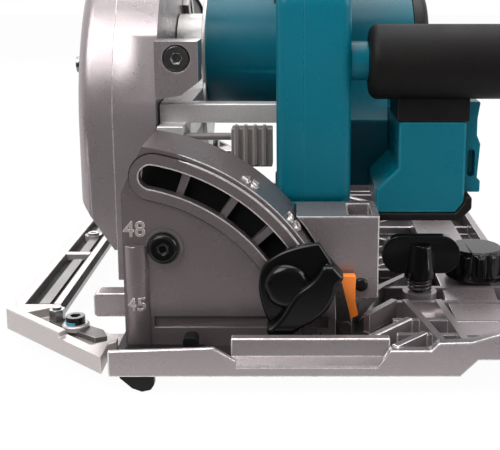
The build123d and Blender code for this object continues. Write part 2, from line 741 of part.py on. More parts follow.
# Blade case: inner half carries the side wall, outer half is the cover
LUG_X = -65.0
LUG_Z = 120.0
LUG_RIGHT = -55.0
LUG_DEPTH = 16.0
LUG_SINK = 4.0
LUG_SINK_R = 6.5
LUG_SCREW_R = 2.5
LUG_SCREW_L = 8.0
CASE_FRONT = HUB_Y - CASE_R
LUG_FRONT = CASE_FRONT + 1
NOZZLE_Z = 128.0
NOZZLE_X = -93.0
NOZZLE_R = 18.0
NOZZLE_BORE = 16.0
NOZZLE_THROAT = NOZZLE_BORE - 3
NOZZLE_SEAT = 38.0
NOZZLE_END = REAR_QUAD_Y + 15
with BuildPart() as blade_case:
    with BuildSketch(side(CASE_SEAM)):
        with BuildLine():
            case_outline(CASE_R)
        make_face()
    extrude(amount=CASE_RIGHT - CASE_SEAM)
    with BuildSketch(side(CASE_SEAM)):
        with BuildLine():
            case_outline(CASE_R - CASE_WALL)
        make_face()
    extrude(amount=CASE_RIGHT - CASE_WALL - CASE_SEAM, mode=Mode.SUBTRACT)
    block(
        CASE_SEAM - 1,
        CASE_RIGHT - CASE_WALL,
        CASE_FRONT + CASE_WALL,
        PIVOT_Y + ARM + CASE_R - 5,
        0,
        CASE_BOTTOM + 2,
        mode=Mode.SUBTRACT,
    )
    slab(
        front(LUG_FRONT),
        ((CASE_RIGHT, 101), (-63, 103), (LUG_RIGHT, 109), (LUG_RIGHT, 128), (CASE_RIGHT, 128)),
        -LUG_DEPTH,
    )
    disc(front(LUG_FRONT), (LUG_X, LUG_Z), LUG_SINK_R, -LUG_SINK, mode=Mode.SUBTRACT)
    disc(front(LUG_FRONT), (LUG_X, LUG_Z), LUG_SCREW_R, -LUG_SINK - LUG_SCREW_L, mode=Mode.SUBTRACT)
    arc_slot(
        Plane(origin=(CASE_RIGHT + 1, PIVOT_Y, PIVOT_Z), x_dir=(0, 1, 0), z_dir=(1, 0, 0)),
        ARM,
        2 * (SNOUT_R + 1),
        DEEP_ANGLE - 1,
        REST_ANGLE + 1,
        -CASE_WALL - 2,
    )
    disc(front(NOZZLE_END), (NOZZLE_X, NOZZLE_Z), NOZZLE_THROAT, 80, mode=Mode.SUBTRACT)
save(blade_case, "blade_case")

with BuildPart() as lug_screw:
    disc(front(LUG_FRONT + LUG_SINK), (LUG_X, LUG_Z), LUG_SINK_R - 0.9, 3.4)
    disc(front(LUG_FRONT + LUG_SINK), (LUG_X, LUG_Z), LUG_SCREW_R, -LUG_SCREW_L)
    with BuildSketch(front(LUG_FRONT + LUG_SINK - 3.4)):
        with Locations((LUG_X, LUG_Z)):
            RegularPolygon(2.6, 6)
    extrude(amount=-2, mode=Mode.SUBTRACT)
save(lug_screw, "lug_screw")

COVER_ROUND = 7.0
COVER_BORDER = 16.5
COVER_RECESS = 1.0
PAD_RISE = 1.4
PAD_OUTLINE = ((-34, 58), (-34, 87), (70, 87), (70, 58))
with BuildPart() as blade_cover:
    with BuildSketch(side(CASE_LEFT)):
        with BuildLine():
            case_outline(CASE_R)
        make_face()
    extrude(amount=CASE_SEAM - CASE_LEFT)
    fillet(blade_cover.edges().group_by(Axis.X)[0], COVER_ROUND)
    with BuildSketch(side(CASE_LEFT + CASE_WALL)):
        with BuildLine():
            case_outline(CASE_R - CASE_WALL)
        make_face()
    extrude(amount=CASE_SEAM - CASE_LEFT, mode=Mode.SUBTRACT)
    slab(
        front(-100),
        ((-113, 54.5), (CASE_SEAM - 1.2, 29), (CASE_SEAM + 1, 29), (CASE_SEAM + 1, 0), (-113, 0)),
        -240,
        mode=Mode.SUBTRACT,
    )
    disc(front(NOZZLE_END), (NOZZLE_X, NOZZLE_Z), NOZZLE_THROAT, 80, mode=Mode.SUBTRACT)
    with BuildSketch(side(CASE_LEFT)):
        with BuildLine():
            case_outline(CASE_R - COVER_BORDER)
        make_face()
    extrude(amount=COVER_RECESS, mode=Mode.SUBTRACT)
    slab(side(CASE_LEFT + COVER_RECESS), PAD_OUTLINE, -COVER_RECESS - PAD_RISE, corner=6)
save(blade_cover, "blade_cover")

SCREW_ANGLES = (32, 95, 158)
CASE_SCREW_R = 4.2
CASE_SCREW_INSET = COVER_ROUND + CASE_SCREW_R + SLIDE_GAP
with BuildPart() as case_screws:
    for screw_angle in SCREW_ANGLES:
        screw_at = on_circle(CASE_R - CASE_SCREW_INSET, screw_angle, (HUB_Y, HUB_Z))
        disc(side(CASE_LEFT), screw_at, CASE_SCREW_R, -2)
save(case_screws, "case_screws")

with BuildPart() as dust_nozzle:
    ring(front(NOZZLE_END), (NOZZLE_X, NOZZLE_Z), NOZZLE_R, NOZZLE_BORE, NOZZLE_SEAT)
    ring(front(NOZZLE_END - NOZZLE_SEAT), (NOZZLE_X, NOZZLE_Z), NOZZLE_R, NOZZLE_THROAT, 24)
    ring(front(NOZZLE_END), (NOZZLE_X, NOZZLE_Z), NOZZLE_R + 1.4, NOZZLE_R - 0.5, 4)
    with BuildSketch(side(CASE_LEFT - 1)):
        with BuildLine():
            case_outline(CASE_R)
        make_face()
    extrude(amount=CASE_RIGHT - CASE_LEFT + 2, mode=Mode.SUBTRACT)
save(dust_nozzle, "dust_nozzle")

# Depth scale and sliding stop on the case wall, both centred on the plunge pivot
SCALE_W = 18.0


def plunge(x):
    """Plane across the saw at one X, drawn from the plunge pivot."""
    return Plane(origin=(x, PIVOT_Y, PIVOT_Z), x_dir=(0, 1, 0), z_dir=(1, 0, 0))


SCALE_GAP = 20.7
SCALE_R = ARM + GEARBOX_R + SCALE_GAP + SCALE_W / 2
with BuildPart() as depth_scale:
    sector(plunge(CASE_RIGHT), SCALE_R - SCALE_W / 2, SCALE_R + SCALE_W / 2, -2, 44, 3.5)
    arc_slot(plunge(CASE_RIGHT - 1), SCALE_R, 6.4, 1, 41, 6)
save(depth_scale, "depth_scale")

STOP_ANGLE = 2.0
stop_y, stop_z = on_circle(SCALE_R, STOP_ANGLE, (PIVOT_Y, PIVOT_Z))
with BuildPart() as depth_stop:
    disc(side(CASE_RIGHT + 0.6), (stop_y, stop_z), 2.9, 4)
    disc(side(CASE_RIGHT + 3.8), (stop_y, stop_z), 9, 11)
    fillet(depth_stop.edges().group_by(Axis.X)[-1], 2)
save(depth_stop, "depth_stop")

# Rear bracket and clamp
rear_x, rear_z = on_circle(REAR_SLOT_R, REAR_BOLT_ANGLE, (BEVEL_X, BEVEL_Z))
REAR_FACE = REAR_QUAD_Y - QUAD_T - 0.8
BRACKET_L = 18.2
with BuildPart() as rear_bracket:
    block(CASE_RIGHT, -44, REAR_FACE - BRACKET_L, REAR_FACE, 17, 42)
    fillet(rear_bracket.edges().filter_by(Axis.Y).group_by(Axis.X)[-1], 6)
    disc(front(REAR_FACE + 1), (rear_x, rear_z), CLAMP_BOLT_R, 10, mode=Mode.SUBTRACT)
save(rear_bracket, "rear_bracket")

with BuildPart() as bevel_bolt_rear:
    disc(front(REAR_QUAD_Y + 7), (rear_x, rear_z), CLAMP_BOLT_R, 7 + REAR_QUAD_Y - REAR_FACE + 9)
save(bevel_bolt_rear, "bevel_bolt_rear")

with BuildPart() as bevel_lever_rear:
    disc(front(REAR_QUAD_Y + SLIDE_GAP), (rear_x, rear_z), 10, -10)
    with BuildSketch(front(REAR_QUAD_Y + 3)):
        with Locations(Pos(rear_x - 14, rear_z + 8) * Rotation(0, 0, -30)):
            SlotOverall(44, 11)
    extrude(amount=-10)
    disc(front(REAR_QUAD_Y), (rear_x, rear_z), CLAMP_BOLT_R + RUN_GAP, -7.2, mode=Mode.SUBTRACT)
save(bevel_lever_rear, "bevel_lever_rear")

# Head: gear housing beside the case wall, with its snout through the arc slot
GEARBOX_LEFT = CASE_RIGHT + SWEEP_GAP
GEARBOX_RIGHT = -60.0
GEAR_CAVITY_R = 24.2
PINION_CAVITY_R = 9.2
FLANGE_BAR_Z0 = 89.0
FLANGE_BAR_Z1 = 98.0
SPINDLE_R = 7.0
with BuildPart() as gear_housing:
    disc(side(GEARBOX_LEFT), (HUB_Y, HUB_Z), GEARBOX_R, GEARBOX_RIGHT - GEARBOX_LEFT)
    disc(side(GEARBOX_LEFT), (MOTOR_Y, MOTOR_Z), 20, GEARBOX_RIGHT - GEARBOX_LEFT)
    block(GEARBOX_LEFT, GEARBOX_RIGHT, -66, HUB_Y, 80, FLANGE_BAR_Z1)
    block(GEARBOX_RIGHT - 1, ARM_LEFT, -66, -56, FLANGE_BAR_Z0, FLANGE_BAR_Z1)
    block(GEARBOX_LEFT, -62, -76, -65, 78, FLANGE_BAR_Z0)
    disc(side(BLADE_X + 6.5), (HUB_Y, HUB_Z), SNOUT_R, GEARBOX_LEFT - BLADE_X - 6)
    disc(side(GEARBOX_RIGHT - 10), (HUB_Y, HUB_Z), GEAR_CAVITY_R, 11, mode=Mode.SUBTRACT)
    disc(side(GEARBOX_RIGHT - 10), (MOTOR_Y, MOTOR_Z), PINION_CAVITY_R, 11, mode=Mode.SUBTRACT)
    disc(side(BLADE_X), (HUB_Y, HUB_Z), 13, GEARBOX_RIGHT - 10 - BLADE_X - 2, mode=Mode.SUBTRACT)
    disc(side(BLADE_X), (HUB_Y, HUB_Z), 9, 30, mode=Mode.SUBTRACT)
    disc(side(-70), (-71, 83.5), 1.8, 12, mode=Mode.SUBTRACT)
save(gear_housing, "gear_housing")

with BuildPart() as spindle_bearing:
    ring(side(-80), (HUB_Y, HUB_Z), 13, SPINDLE_R + RUN_GAP, 7)
save(spindle_bearing, "spindle_bearing")

with BuildPart() as gear_cover:
    disc(side(GEARBOX_RIGHT), (HUB_Y, HUB_Z), GEARBOX_R, MOTOR_LEFT - GEARBOX_RIGHT)
    disc(side(GEARBOX_RIGHT), (MOTOR_Y, MOTOR_Z), MOTOR_R - 1, MOTOR_LEFT - GEARBOX_RIGHT)
    disc(side(GEARBOX_RIGHT - 1), (MOTOR_Y, MOTOR_Z), 5.4, 5, mode=Mode.SUBTRACT)
save(gear_cover, "gear_cover")

# Spindle group
gear_left = GEARBOX_RIGHT - 9.2
with BuildPart() as spindle:
    disc(side(-82.6), (HUB_Y, HUB_Z), SPINDLE_R, 82.6 + GEARBOX_RIGHT - 0.5)
    disc(side(-93.5), (HUB_Y, HUB_Z), 5, 11)
    disc(side(-94), (HUB_Y, HUB_Z), 2.5, 8, mode=Mode.SUBTRACT)
save(spindle, "spindle")

with BuildPart() as drive_gear:
    gear(side(gear_left), (HUB_Y, HUB_Z), GEAR_TEETH, MOTOR_LEAN, GEAR_W)
    disc(side(gear_left - 1), (HUB_Y, HUB_Z), SPINDLE_R, GEAR_W + 2, mode=Mode.SUBTRACT)
save(drive_gear, "drive_gear")

with BuildPart() as inner_flange:
    ring(side(BLADE_X + BLADE_T / 2), (HUB_Y, HUB_Z), 16, 5, -82.6 - BLADE_X - BLADE_T / 2)
save(inner_flange, "inner_flange")

GULLET = 7.5
with BuildPart() as blade:
    blade_points = []
    for tooth in range(BLADE_TEETH):
        tooth_angle = tooth * 360 / BLADE_TEETH
        blade_points.append(on_circle(BLADE_D / 2, tooth_angle, (HUB_Y, HUB_Z)))
        blade_points.append(on_circle(BLADE_D / 2 - GULLET, tooth_angle + 2.5, (HUB_Y, HUB_Z)))
        blade_points.append(on_circle(BLADE_D / 2 - GULLET, tooth_angle + 6.5, (HUB_Y, HUB_Z)))
        blade_points.append(on_circle(BLADE_D / 2 - 1.2, tooth_angle + 11, (HUB_Y, HUB_Z)))
    slab(side(BLADE_X - BLADE_T / 2), blade_points, BLADE_T)
    disc(side(BLADE_X - 2), (HUB_Y, HUB_Z), 5, 4, mode=Mode.SUBTRACT)
save(blade, "blade")

with BuildPart() as outer_flange:
    ring(side(BLADE_X - BLADE_T / 2), (HUB_Y, HUB_Z), 16, 5, -3.5)
save(outer_flange, "outer_flange")

BOLT_FACE = -92.3
BOLT_HEAD = 5.2
with BuildPart() as blade_bolt:
    disc(side(BOLT_FACE), (HUB_Y, HUB_Z), 9, -BOLT_HEAD)
    disc(side(-93.5), (HUB_Y, HUB_Z), 5, 2, mode=Mode.SUBTRACT)
    disc(side(-94), (HUB_Y, HUB_Z), 2.5, 7)
    with BuildSketch(side(BOLT_FACE - BOLT_HEAD)):
        with Locations((HUB_Y, HUB_Z)):
            RegularPolygon(3.4, 6)
    extrude(amount=2.6, mode=Mode.SUBTRACT)
save(blade_bolt, "blade_bolt")

# Motor
with BuildPart() as motor_housing:
    disc(side(MOTOR_LEFT), (MOTOR_Y, MOTOR_Z), MOTOR_R, MOTOR_RIGHT - MOTOR_LEFT)
    slab(
        side(ARM_RIGHT + 0.5),
        ((-30, 50), (-30, 84), (-6, 112), (20, 100), (10, 74), (-8, 58)),
        37 - ARM_RIGHT - 0.5,
    )
    motor_l = MOTOR_RIGHT - MOTOR_LEFT
    disc(side(MOTOR_LEFT - 1), (MOTOR_Y, MOTOR_Z), MOTOR_R - MOTOR_WALL, motor_l + 2, mode=Mode.SUBTRACT)
save(motor_housing, "motor_housing")

with BuildPart() as motor_cap:
    disc(side(MOTOR_RIGHT), (MOTOR_Y, MOTOR_Z), MOTOR_R, 8)
    fillet(motor_cap.edges().group_by(Axis.X)[-1], 4)
    disc(side(MOTOR_RIGHT - 1), (MOTOR_Y, MOTOR_Z), 8, 6, mode=Mode.SUBTRACT)
    with BuildSketch(side(MOTOR_RIGHT + 9)):
        with Locations((MOTOR_Y, MOTOR_Z)):
            with PolarLocations(19, 8):
                SlotOverall(10, 3)
    extrude(amount=-6, mode=Mode.SUBTRACT)
save(motor_cap, "motor_cap")

ROTOR_R = 14.0
SHAFT_R = 4.0
with BuildPart() as stator:
    ring(side(-34), (MOTOR_Y, MOTOR_Z), MOTOR_R - MOTOR_WALL, ROTOR_R + 0.6, 60)
save(stator, "stator")

with BuildPart() as rotor_bearing:
    ring(side(MOTOR_RIGHT), (MOTOR_Y, MOTOR_Z), 8, SHAFT_R + RUN_GAP, 5)
save(rotor_bearing, "rotor_bearing")

PINION_PHASE = MOTOR_LEAN + 180 + 180 / PINION_TEETH
with BuildPart() as rotor_shaft:
    disc(side(-58), (MOTOR_Y, MOTOR_Z), SHAFT_R, MOTOR_RIGHT + 58 + 4.5)
    disc(side(-62), (MOTOR_Y, MOTOR_Z), 4.8, 13)
    gear(side(gear_left), (MOTOR_Y, MOTOR_Z), PINION_TEETH, PINION_PHASE, GEAR_W)
save(rotor_shaft, "rotor_shaft")

with BuildPart() as rotor_core:
    ring(side(-34), (MOTOR_Y, MOTOR_Z), ROTOR_R, SHAFT_R, 60)
save(rotor_core, "rotor_core")

FAN_GAP = 1.5
FAN_R = MOTOR_R - MOTOR_WALL - FAN_GAP
FAN_HUB_R = 9.0
VANE_ROOT = FAN_HUB_R - 0.5
VANE_TIP = FAN_R - 0.5
with BuildPart() as fan:
    ring(side(-47), (MOTOR_Y, MOTOR_Z), FAN_HUB_R, SHAFT_R, 9)
    disc(side(-40), (MOTOR_Y, MOTOR_Z), FAN_R, 2)
    with BuildSketch(side(-47)):
        with Locations((MOTOR_Y, MOTOR_Z)):
            with PolarLocations((VANE_ROOT + VANE_TIP) / 2, 11):
                Rectangle(VANE_TIP - VANE_ROOT, 1.6)
    extrude(amount=8)
    disc(side(-48), (MOTOR_Y, MOTOR_Z), SHAFT_R, 12, mode=Mode.SUBTRACT)
save(fan, "fan")

# D-handle mouldings: left and right half around the same side outline
HANDLE_OUTLINE = (
    (-6.8, 16.1),
    (37.9, 77.5),
    (50, 94),
    (78, 114),
    (140, 122),
    (205, 114),
    (236, 94),
    (246, 52),
    (158, 52),
    (150, 40),
    (118, 8),
    (86, 12),
    (25.5, -7.4),
)
HAND_HOLE = ((120, 66), (204, 67), (214, 80), (204, 94), (126, 98), (104, 90), (102, 76))
HANDLE_CORNER = 12.0
HANDLE_ROUND = 5.0
HOLE_CORNER = 8.0
TRIGGER_LEFT = -8.0
TRIGGER_RIGHT = 4.0
TRIGGER_PIN = (148, 106)
TRIGGER_PIN_R = 2.0
TRIGGER_PIN_L = 2.0
LOCK_AT = (108, 104)
DIAL_AT = (226, 66)


def handle_half(shell, face, x, width, tongue_x, tongue_w):
    """One half of the handle shell: rounded arm, grip and battery bridge, with its pivot tongue."""
    slab(level(x), HANDLE_OUTLINE, width, corner=HANDLE_CORNER)
    slab(level(x - 1), HAND_HOLE, width + 2, mode=Mode.SUBTRACT, corner=HOLE_CORNER)
    fillet(shell.edges().group_by(Axis.X)[face], HANDLE_ROUND)
    disc(level(x - 1), (0, 0), CHEEK_R + 1, width + 2, mode=Mode.SUBTRACT)
    disc(level(tongue_x), (0, 0), TONGUE_R, tongue_w)
    slab(level(tongue_x), ((-8.5, 4), (-3, 20), (30, 30), (30, -5), (6, -8)), tongue_w)
    disc(side(x - 1), (MOTOR_Y, MOTOR_Z), MOTOR_R, width + 2, mode=Mode.SUBTRACT)
    disc(level(x - 1), (0, 0), PIN_R + RUN_GAP, width + 2, mode=Mode.SUBTRACT)


TRIGGER_POCKET = ((118, 84), (118, 108), (140, 116), (157, 114), (157, 84))
with BuildPart() as handle_left:
    handle_half(handle_left, 0, ARM_LEFT, ARM_SPLIT - ARM_LEFT, -TONGUE, ARM_SPLIT + TONGUE)
    slab(level(TRIGGER_LEFT - SLIDE_GAP), TRIGGER_POCKET, 10, mode=Mode.SUBTRACT)
    disc(level(ARM_LEFT - 1), LOCK_AT, 5 + SLIDE_GAP, 9.5, mode=Mode.SUBTRACT)
    pin_left = TRIGGER_LEFT - TRIGGER_PIN_L - SLIDE_GAP
    disc(level(pin_left), TRIGGER_PIN, TRIGGER_PIN_R + RUN_GAP, 6, mode=Mode.SUBTRACT)
save(handle_left, "handle_left")

with BuildPart() as handle_right:
    handle_half(handle_right, -1, ARM_SPLIT, ARM_RIGHT - ARM_SPLIT, ARM_SPLIT, TONGUE - ARM_SPLIT)
    slab(level(ARM_SPLIT - 1), TRIGGER_POCKET, TRIGGER_RIGHT + SLIDE_GAP - ARM_SPLIT + 1, mode=Mode.SUBTRACT)
    disc(level(ARM_RIGHT - 3), DIAL_AT, 9 + SLIDE_GAP, 5, mode=Mode.SUBTRACT)
    pin_right = TRIGGER_RIGHT + TRIGGER_PIN_L + SLIDE_GAP
    disc(level(pin_right), TRIGGER_PIN, TRIGGER_PIN_R + RUN_GAP, -6, mode=Mode.SUBTRACT)
    disc(side(ARM_RIGHT), (GRIP_Y + 4, GRIP_Z), 9, 8)
save(handle_right, "handle_right")

with BuildPart() as trigger:
    slab(
        level(TRIGGER_LEFT),
        ((128, 86), (134, 83), (150, 91), (153, 107), (146, 111), (130, 104)),
        TRIGGER_RIGHT - TRIGGER_LEFT,
        corner=2,
    )
    disc(
        level(TRIGGER_LEFT - TRIGGER_PIN_L),
        TRIGGER_PIN,
        TRIGGER_PIN_R,
        TRIGGER_RIGHT - TRIGGER_LEFT + 2 * TRIGGER_PIN_L,
    )
save(trigger, "trigger")

with BuildPart() as lock_off:
    disc(level(ARM_LEFT - 3), LOCK_AT, 5, 9)
save(lock_off, "lock_off")

with BuildPart() as speed_dial:
    disc(level(ARM_RIGHT - 3 + SLIDE_GAP), DIAL_AT, 9, 4.5)
save(speed_dial, "speed_dial")

with BuildPart() as shaft_lock:
    block(-40, -21, -76, -66.6, 70, 88)
    for pad_x in (-37.5, -33.2, -28.9, -24.6):
        block(pad_x - 0.9, pad_x + 0.9, -77.6, -75, 71, 90)
    disc(side(-66), (-71, 83.5), 1.7, 27)
save(shaft_lock, "shaft_lock")

# Front grip group on the motor side
GRIP_FRONT = -80.0
BUMPER_DEPTH = 14.0
COLUMN_FRONT = -72.0
COLUMN_DEPTH = 40.0
with BuildPart() as grip_base:
    slab(
        front(-80),
        ((37, 92), (37, 70), (27, 60), (27, 49), (64, 49), (68, 54), (68, 92)),
        -78,
        corner=1.5,
    )
    slab(
        front(COLUMN_FRONT),
        (
            (66, 57),
            (76.5, 57),
            (76.5, 62.5),
            (74.9, 63.5),
            (76, 80),
            (74.4, 84),
            (74.4, 92),
            (75.6, 100),
            (69.3, 100),
            (69.3, 91),
            (66, 91),
        ),
        -COLUMN_DEPTH,
        corner=0.8,
    )
    with BuildSketch(front(COLUMN_FRONT)):
        with Locations((72, 71)):
            SlotOverall(13, 3.4, rotation=90)
    extrude(amount=-6, mode=Mode.SUBTRACT)
    block(29, 62, GRIP_FRONT + BUMPER_DEPTH, -36, 41.5, 52)
    slab(side(26), ((-24, 48), (-2, 76), (-1, 48)), 44, mode=Mode.SUBTRACT)
    block(26, 37, -32, 0, 40, 100, mode=Mode.SUBTRACT)
    disc(side(26), (MOTOR_Y, MOTOR_Z), MOTOR_R, 44, mode=Mode.SUBTRACT)
save(grip_base, "grip_base")

with BuildPart() as grip_bumper:
    slab(
        front(GRIP_FRONT - 1),
        ((27, 45.4), (66, 45.4), (71.4, 51), (71.4, 56.6), (68, 56.6), (68, 54), (64, 49), (27, 49)),
        -BUMPER_DEPTH,
    )
save(grip_bumper, "grip_bumper")

with BuildPart() as grip_neck:
    block(36, 69, -81, -46, 92, 112)
    disc(side(20), (GRIP_Y, GRIP_Z), GRIP_R, 90, mode=Mode.SUBTRACT)
save(grip_neck, "grip_neck")

with BuildPart() as front_grip:
    disc(side(ARM_RIGHT + 8), (GRIP_Y, GRIP_Z), GRIP_R, 75)
    fillet(front_grip.edges().group_by(Axis.X)[-1], 9)
    fillet(front_grip.edges().group_by(Axis.X)[0], 4)
save(front_grip, "front_grip")

# Battery mount and pack, drawn level
MOUNT_START = 166.0
MOUNT_END = 246.0
MOUNT_TOP = 52.0
MOUNT_FLOOR = 46.0
RAIL_LOW = 38.5


def mount_bar(x, low, high, width):
    """Bar along the battery mount, between two heights above the pivot."""
    slab(level(x), ((MOUNT_START, low), (MOUNT_START, high), (MOUNT_END, high), (MOUNT_END, low)), width)


with BuildPart() as battery_mount:
    mount_bar(BATTERY_LEFT, MOUNT_FLOOR, MOUNT_TOP, BATTERY_RIGHT - BATTERY_LEFT)
    for wall_x, lip_x in ((-23.0, -18.5), (22.5, 16.5)):
        mount_bar(wall_x, RAIL_LOW, MOUNT_FLOOR, 4.5)
        mount_bar(lip_x, RAIL_LOW, RAIL_LOW + 3.1, 6)
save(battery_mount, "battery_mount")

with BuildPart() as battery_pack:
    slab(
        level(BATTERY_LEFT),
        ((166, -14), (166, 38), (258, 38), (262, 32), (262, -8), (256, -14)),
        BATTERY_RIGHT - BATTERY_LEFT,
    )
    slab(level(-12), ((168, 37), (168, 43), (250, 43), (250, 37)), 28)
    slab(level(-18), ((168, 42), (168, 45.6), (250, 45.6), (250, 42)), 40)
    slab(level(-9), ((252, 22), (252, 40), (264, 40), (264, 22)), 22, mode=Mode.SUBTRACT)
save(battery_pack, "battery_pack")

with BuildPart() as battery_latch:
    slab(level(-8), ((252.4, 28), (252.4, 37), (258, 37), (262, 31), (262, 28)), 20)
save(battery_latch, "battery_latch")
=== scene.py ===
"""Looks of a rail-guided plunge-cut circular saw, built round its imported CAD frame.

The sole lies in z = 0, +X is the motor side and -Y the front. Lengths are metres, or millimetres where
a docstring says so.
"""

import json
import logging
import math
from dataclasses import dataclass, field
from enum import Enum
from typing import Callable

import bpy
from mathutils import Matrix, Vector
from mathutils.bvhtree import BVHTree
from mathutils.geometry import intersect_line_line_2d, intersect_point_line

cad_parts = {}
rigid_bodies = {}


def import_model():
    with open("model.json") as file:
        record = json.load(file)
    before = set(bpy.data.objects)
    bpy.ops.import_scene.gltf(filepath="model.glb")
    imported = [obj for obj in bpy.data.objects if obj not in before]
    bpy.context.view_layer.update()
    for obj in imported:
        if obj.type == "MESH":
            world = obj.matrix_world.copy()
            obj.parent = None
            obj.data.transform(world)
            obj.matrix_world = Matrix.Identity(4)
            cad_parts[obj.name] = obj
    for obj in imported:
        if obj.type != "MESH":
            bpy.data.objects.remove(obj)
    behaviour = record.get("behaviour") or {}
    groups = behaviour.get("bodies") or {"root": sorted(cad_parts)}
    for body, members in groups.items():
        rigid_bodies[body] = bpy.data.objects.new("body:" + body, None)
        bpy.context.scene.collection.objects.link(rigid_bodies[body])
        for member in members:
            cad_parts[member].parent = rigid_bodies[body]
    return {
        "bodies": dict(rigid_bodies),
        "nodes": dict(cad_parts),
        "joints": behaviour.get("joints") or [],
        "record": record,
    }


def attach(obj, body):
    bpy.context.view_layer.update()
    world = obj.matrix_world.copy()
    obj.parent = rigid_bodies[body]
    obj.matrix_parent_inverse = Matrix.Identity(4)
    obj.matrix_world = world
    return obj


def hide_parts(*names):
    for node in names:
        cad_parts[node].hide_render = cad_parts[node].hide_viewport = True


LOG = logging.getLogger("saw")
MM = 0.001
Colour = tuple[float, float, float]
Point = tuple[float, float, float]

UP: Point = (0.0, 0.0, 1.0)
FRONT: Point = (0.0, -1.0, 0.0)
REAR: Point = (0.0, 1.0, 0.0)
LEFT: Point = (-1.0, 0.0, 0.0)
RIGHT: Point = (1.0, 0.0, 0.0)

# Sockets of the Mix node, whose names repeat between its data types
FLOAT_A = 2
FLOAT_B = 3
COLOUR_A = 6
COLOUR_B = 7
COLOUR_OUT = 2


class Slot(Enum):
    """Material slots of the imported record."""

    CASTING = "magnesium"
    STEEL = "steel"
    BLACK_STEEL = "black_steel"
    BLADE = "blade_steel"
    GEARBOX = "cast_aluminium"
    SHELL = "teal_shell"
    PLASTIC = "black_plastic"
    RUBBER = "soft_grip"
    ORANGE = "orange_plastic"
    RED = "red_plastic"
    LAMINATIONS = "laminations"


class Coat(Enum):
    """Finishes seen on the saw."""

    CASTING = "casting"
    DARK_CASTING = "dark_casting"
    DEEP_CASTING = "deep_casting"
    PALE_CASTING = "pale_casting"
    FIGURE = "figure"
    STEEL = "steel"
    DULL_STEEL = "dull_steel"
    BLACK_STEEL = "black_steel"
    DARK_STEEL = "dark_steel"
    BLADE = "blade"
    CARBIDE = "carbide"
    GEARBOX = "gearbox"
    SHELL = "shell"
    GLOSS_BLACK = "gloss_black"
    SATIN_BLACK = "satin_black"
    GREY_PLASTIC = "grey_plastic"
    SHADOW_BLACK = "shadow_black"
    RUBBER = "rubber"
    ORANGE = "orange"
    RED = "red"
    THREADLOCK = "threadlock"
    LAMINATIONS = "laminations"


class Facing(Enum):
    """Axes that a round piece can stand on, as Euler turns of an upright one."""

    UP = (0.0, 0.0, 0.0)
    FRONT = (math.pi / 2, 0.0, 0.0)
    SIDE = (0.0, math.pi / 2, 0.0)


def deselect() -> None:
    """Leave edit mode and clear the selection."""
    if bpy.context.object and bpy.context.object.mode != "OBJECT":
        bpy.ops.object.mode_set(mode="OBJECT")
    bpy.ops.object.select_all(action="DESELECT")


def activate(obj: bpy.types.Object) -> None:
    """Select one object alone and make it active.

    Args:
        obj: The object to work on.
    """
    deselect()
    obj.select_set(True)
    bpy.context.view_layer.objects.active = obj


def settle(obj: bpy.types.Object) -> None:
    """Put an object's place and turn into its mesh.

    Args:
        obj: The object to settle at the origin.
    """
    activate(obj)
    bpy.ops.object.transform_apply(location=True, rotation=True, scale=True)


def apply(obj: bpy.types.Object, kind: str, **settings: object) -> None:
    """Add a modifier, set it and apply it.

    Args:
        obj: The object to change.
        kind: The modifier's type.
        settings: Values of the modifier's properties.
    """
    activate(obj)
    modifier = obj.modifiers.new(kind.lower(), kind)
    for key, value in settings.items():
        setattr(modifier, key, value)
    bpy.ops.object.modifier_apply(modifier=modifier.name)


def smooth(obj: bpy.types.Object, angle: float = 32.0) -> None:
    """Shade a piece smooth except at edges sharper than an angle.

    Args:
        obj: The piece to shade.
        angle: Sharpest smooth edge in degrees.
    """
    activate(obj)
    bpy.ops.object.shade_smooth_by_angle(angle=math.radians(angle))


class NodeKit:
    """Small helper that adds and links shader nodes in one tree."""

    def __init__(self, tree: bpy.types.NodeTree) -> None:
        """Keep the tree to work in."""
        self.tree = tree

    def add(self, kind: str, **values: object) -> bpy.types.Node:
        """Add a node and set its properties and unlinked inputs.

        Args:
            kind: Node type name.
            values: Property names, or input names with underscores for spaces.

        Returns:
            The new node.
        """
        node = self.tree.nodes.new(kind)
        for key, value in values.items():
            if hasattr(node, key):
                setattr(node, key, value)
            else:
                node.inputs[key.replace("_", " ")].default_value = value
        return node

    def link(self, source: bpy.types.NodeSocket, target: bpy.types.NodeSocket) -> None:
        """Link an output socket to an input socket."""
        self.tree.links.new(source, target)


def new_group(name: str, inputs: dict[str, float], outputs: dict[str, str]) -> tuple:
    """Start a shader node group.

    Args:
        name: Name of the group.
        inputs: Float inputs with their defaults.
        outputs: Output names with their socket types.

    Returns:
        The group, a kit on it, its input node and its output node.
    """
    group = bpy.data.node_groups.new(name, "ShaderNodeTree")
    for label, value in inputs.items():
        socket = group.interface.new_socket(label, in_out="INPUT", socket_type="NodeSocketFloat")
        socket.default_value = value
    for label, kind in outputs.items():
        group.interface.new_socket(label, in_out="OUTPUT", socket_type=kind)
    kit = NodeKit(group)
    return group, kit, kit.add("NodeGroupInput"), kit.add("NodeGroupOutput")


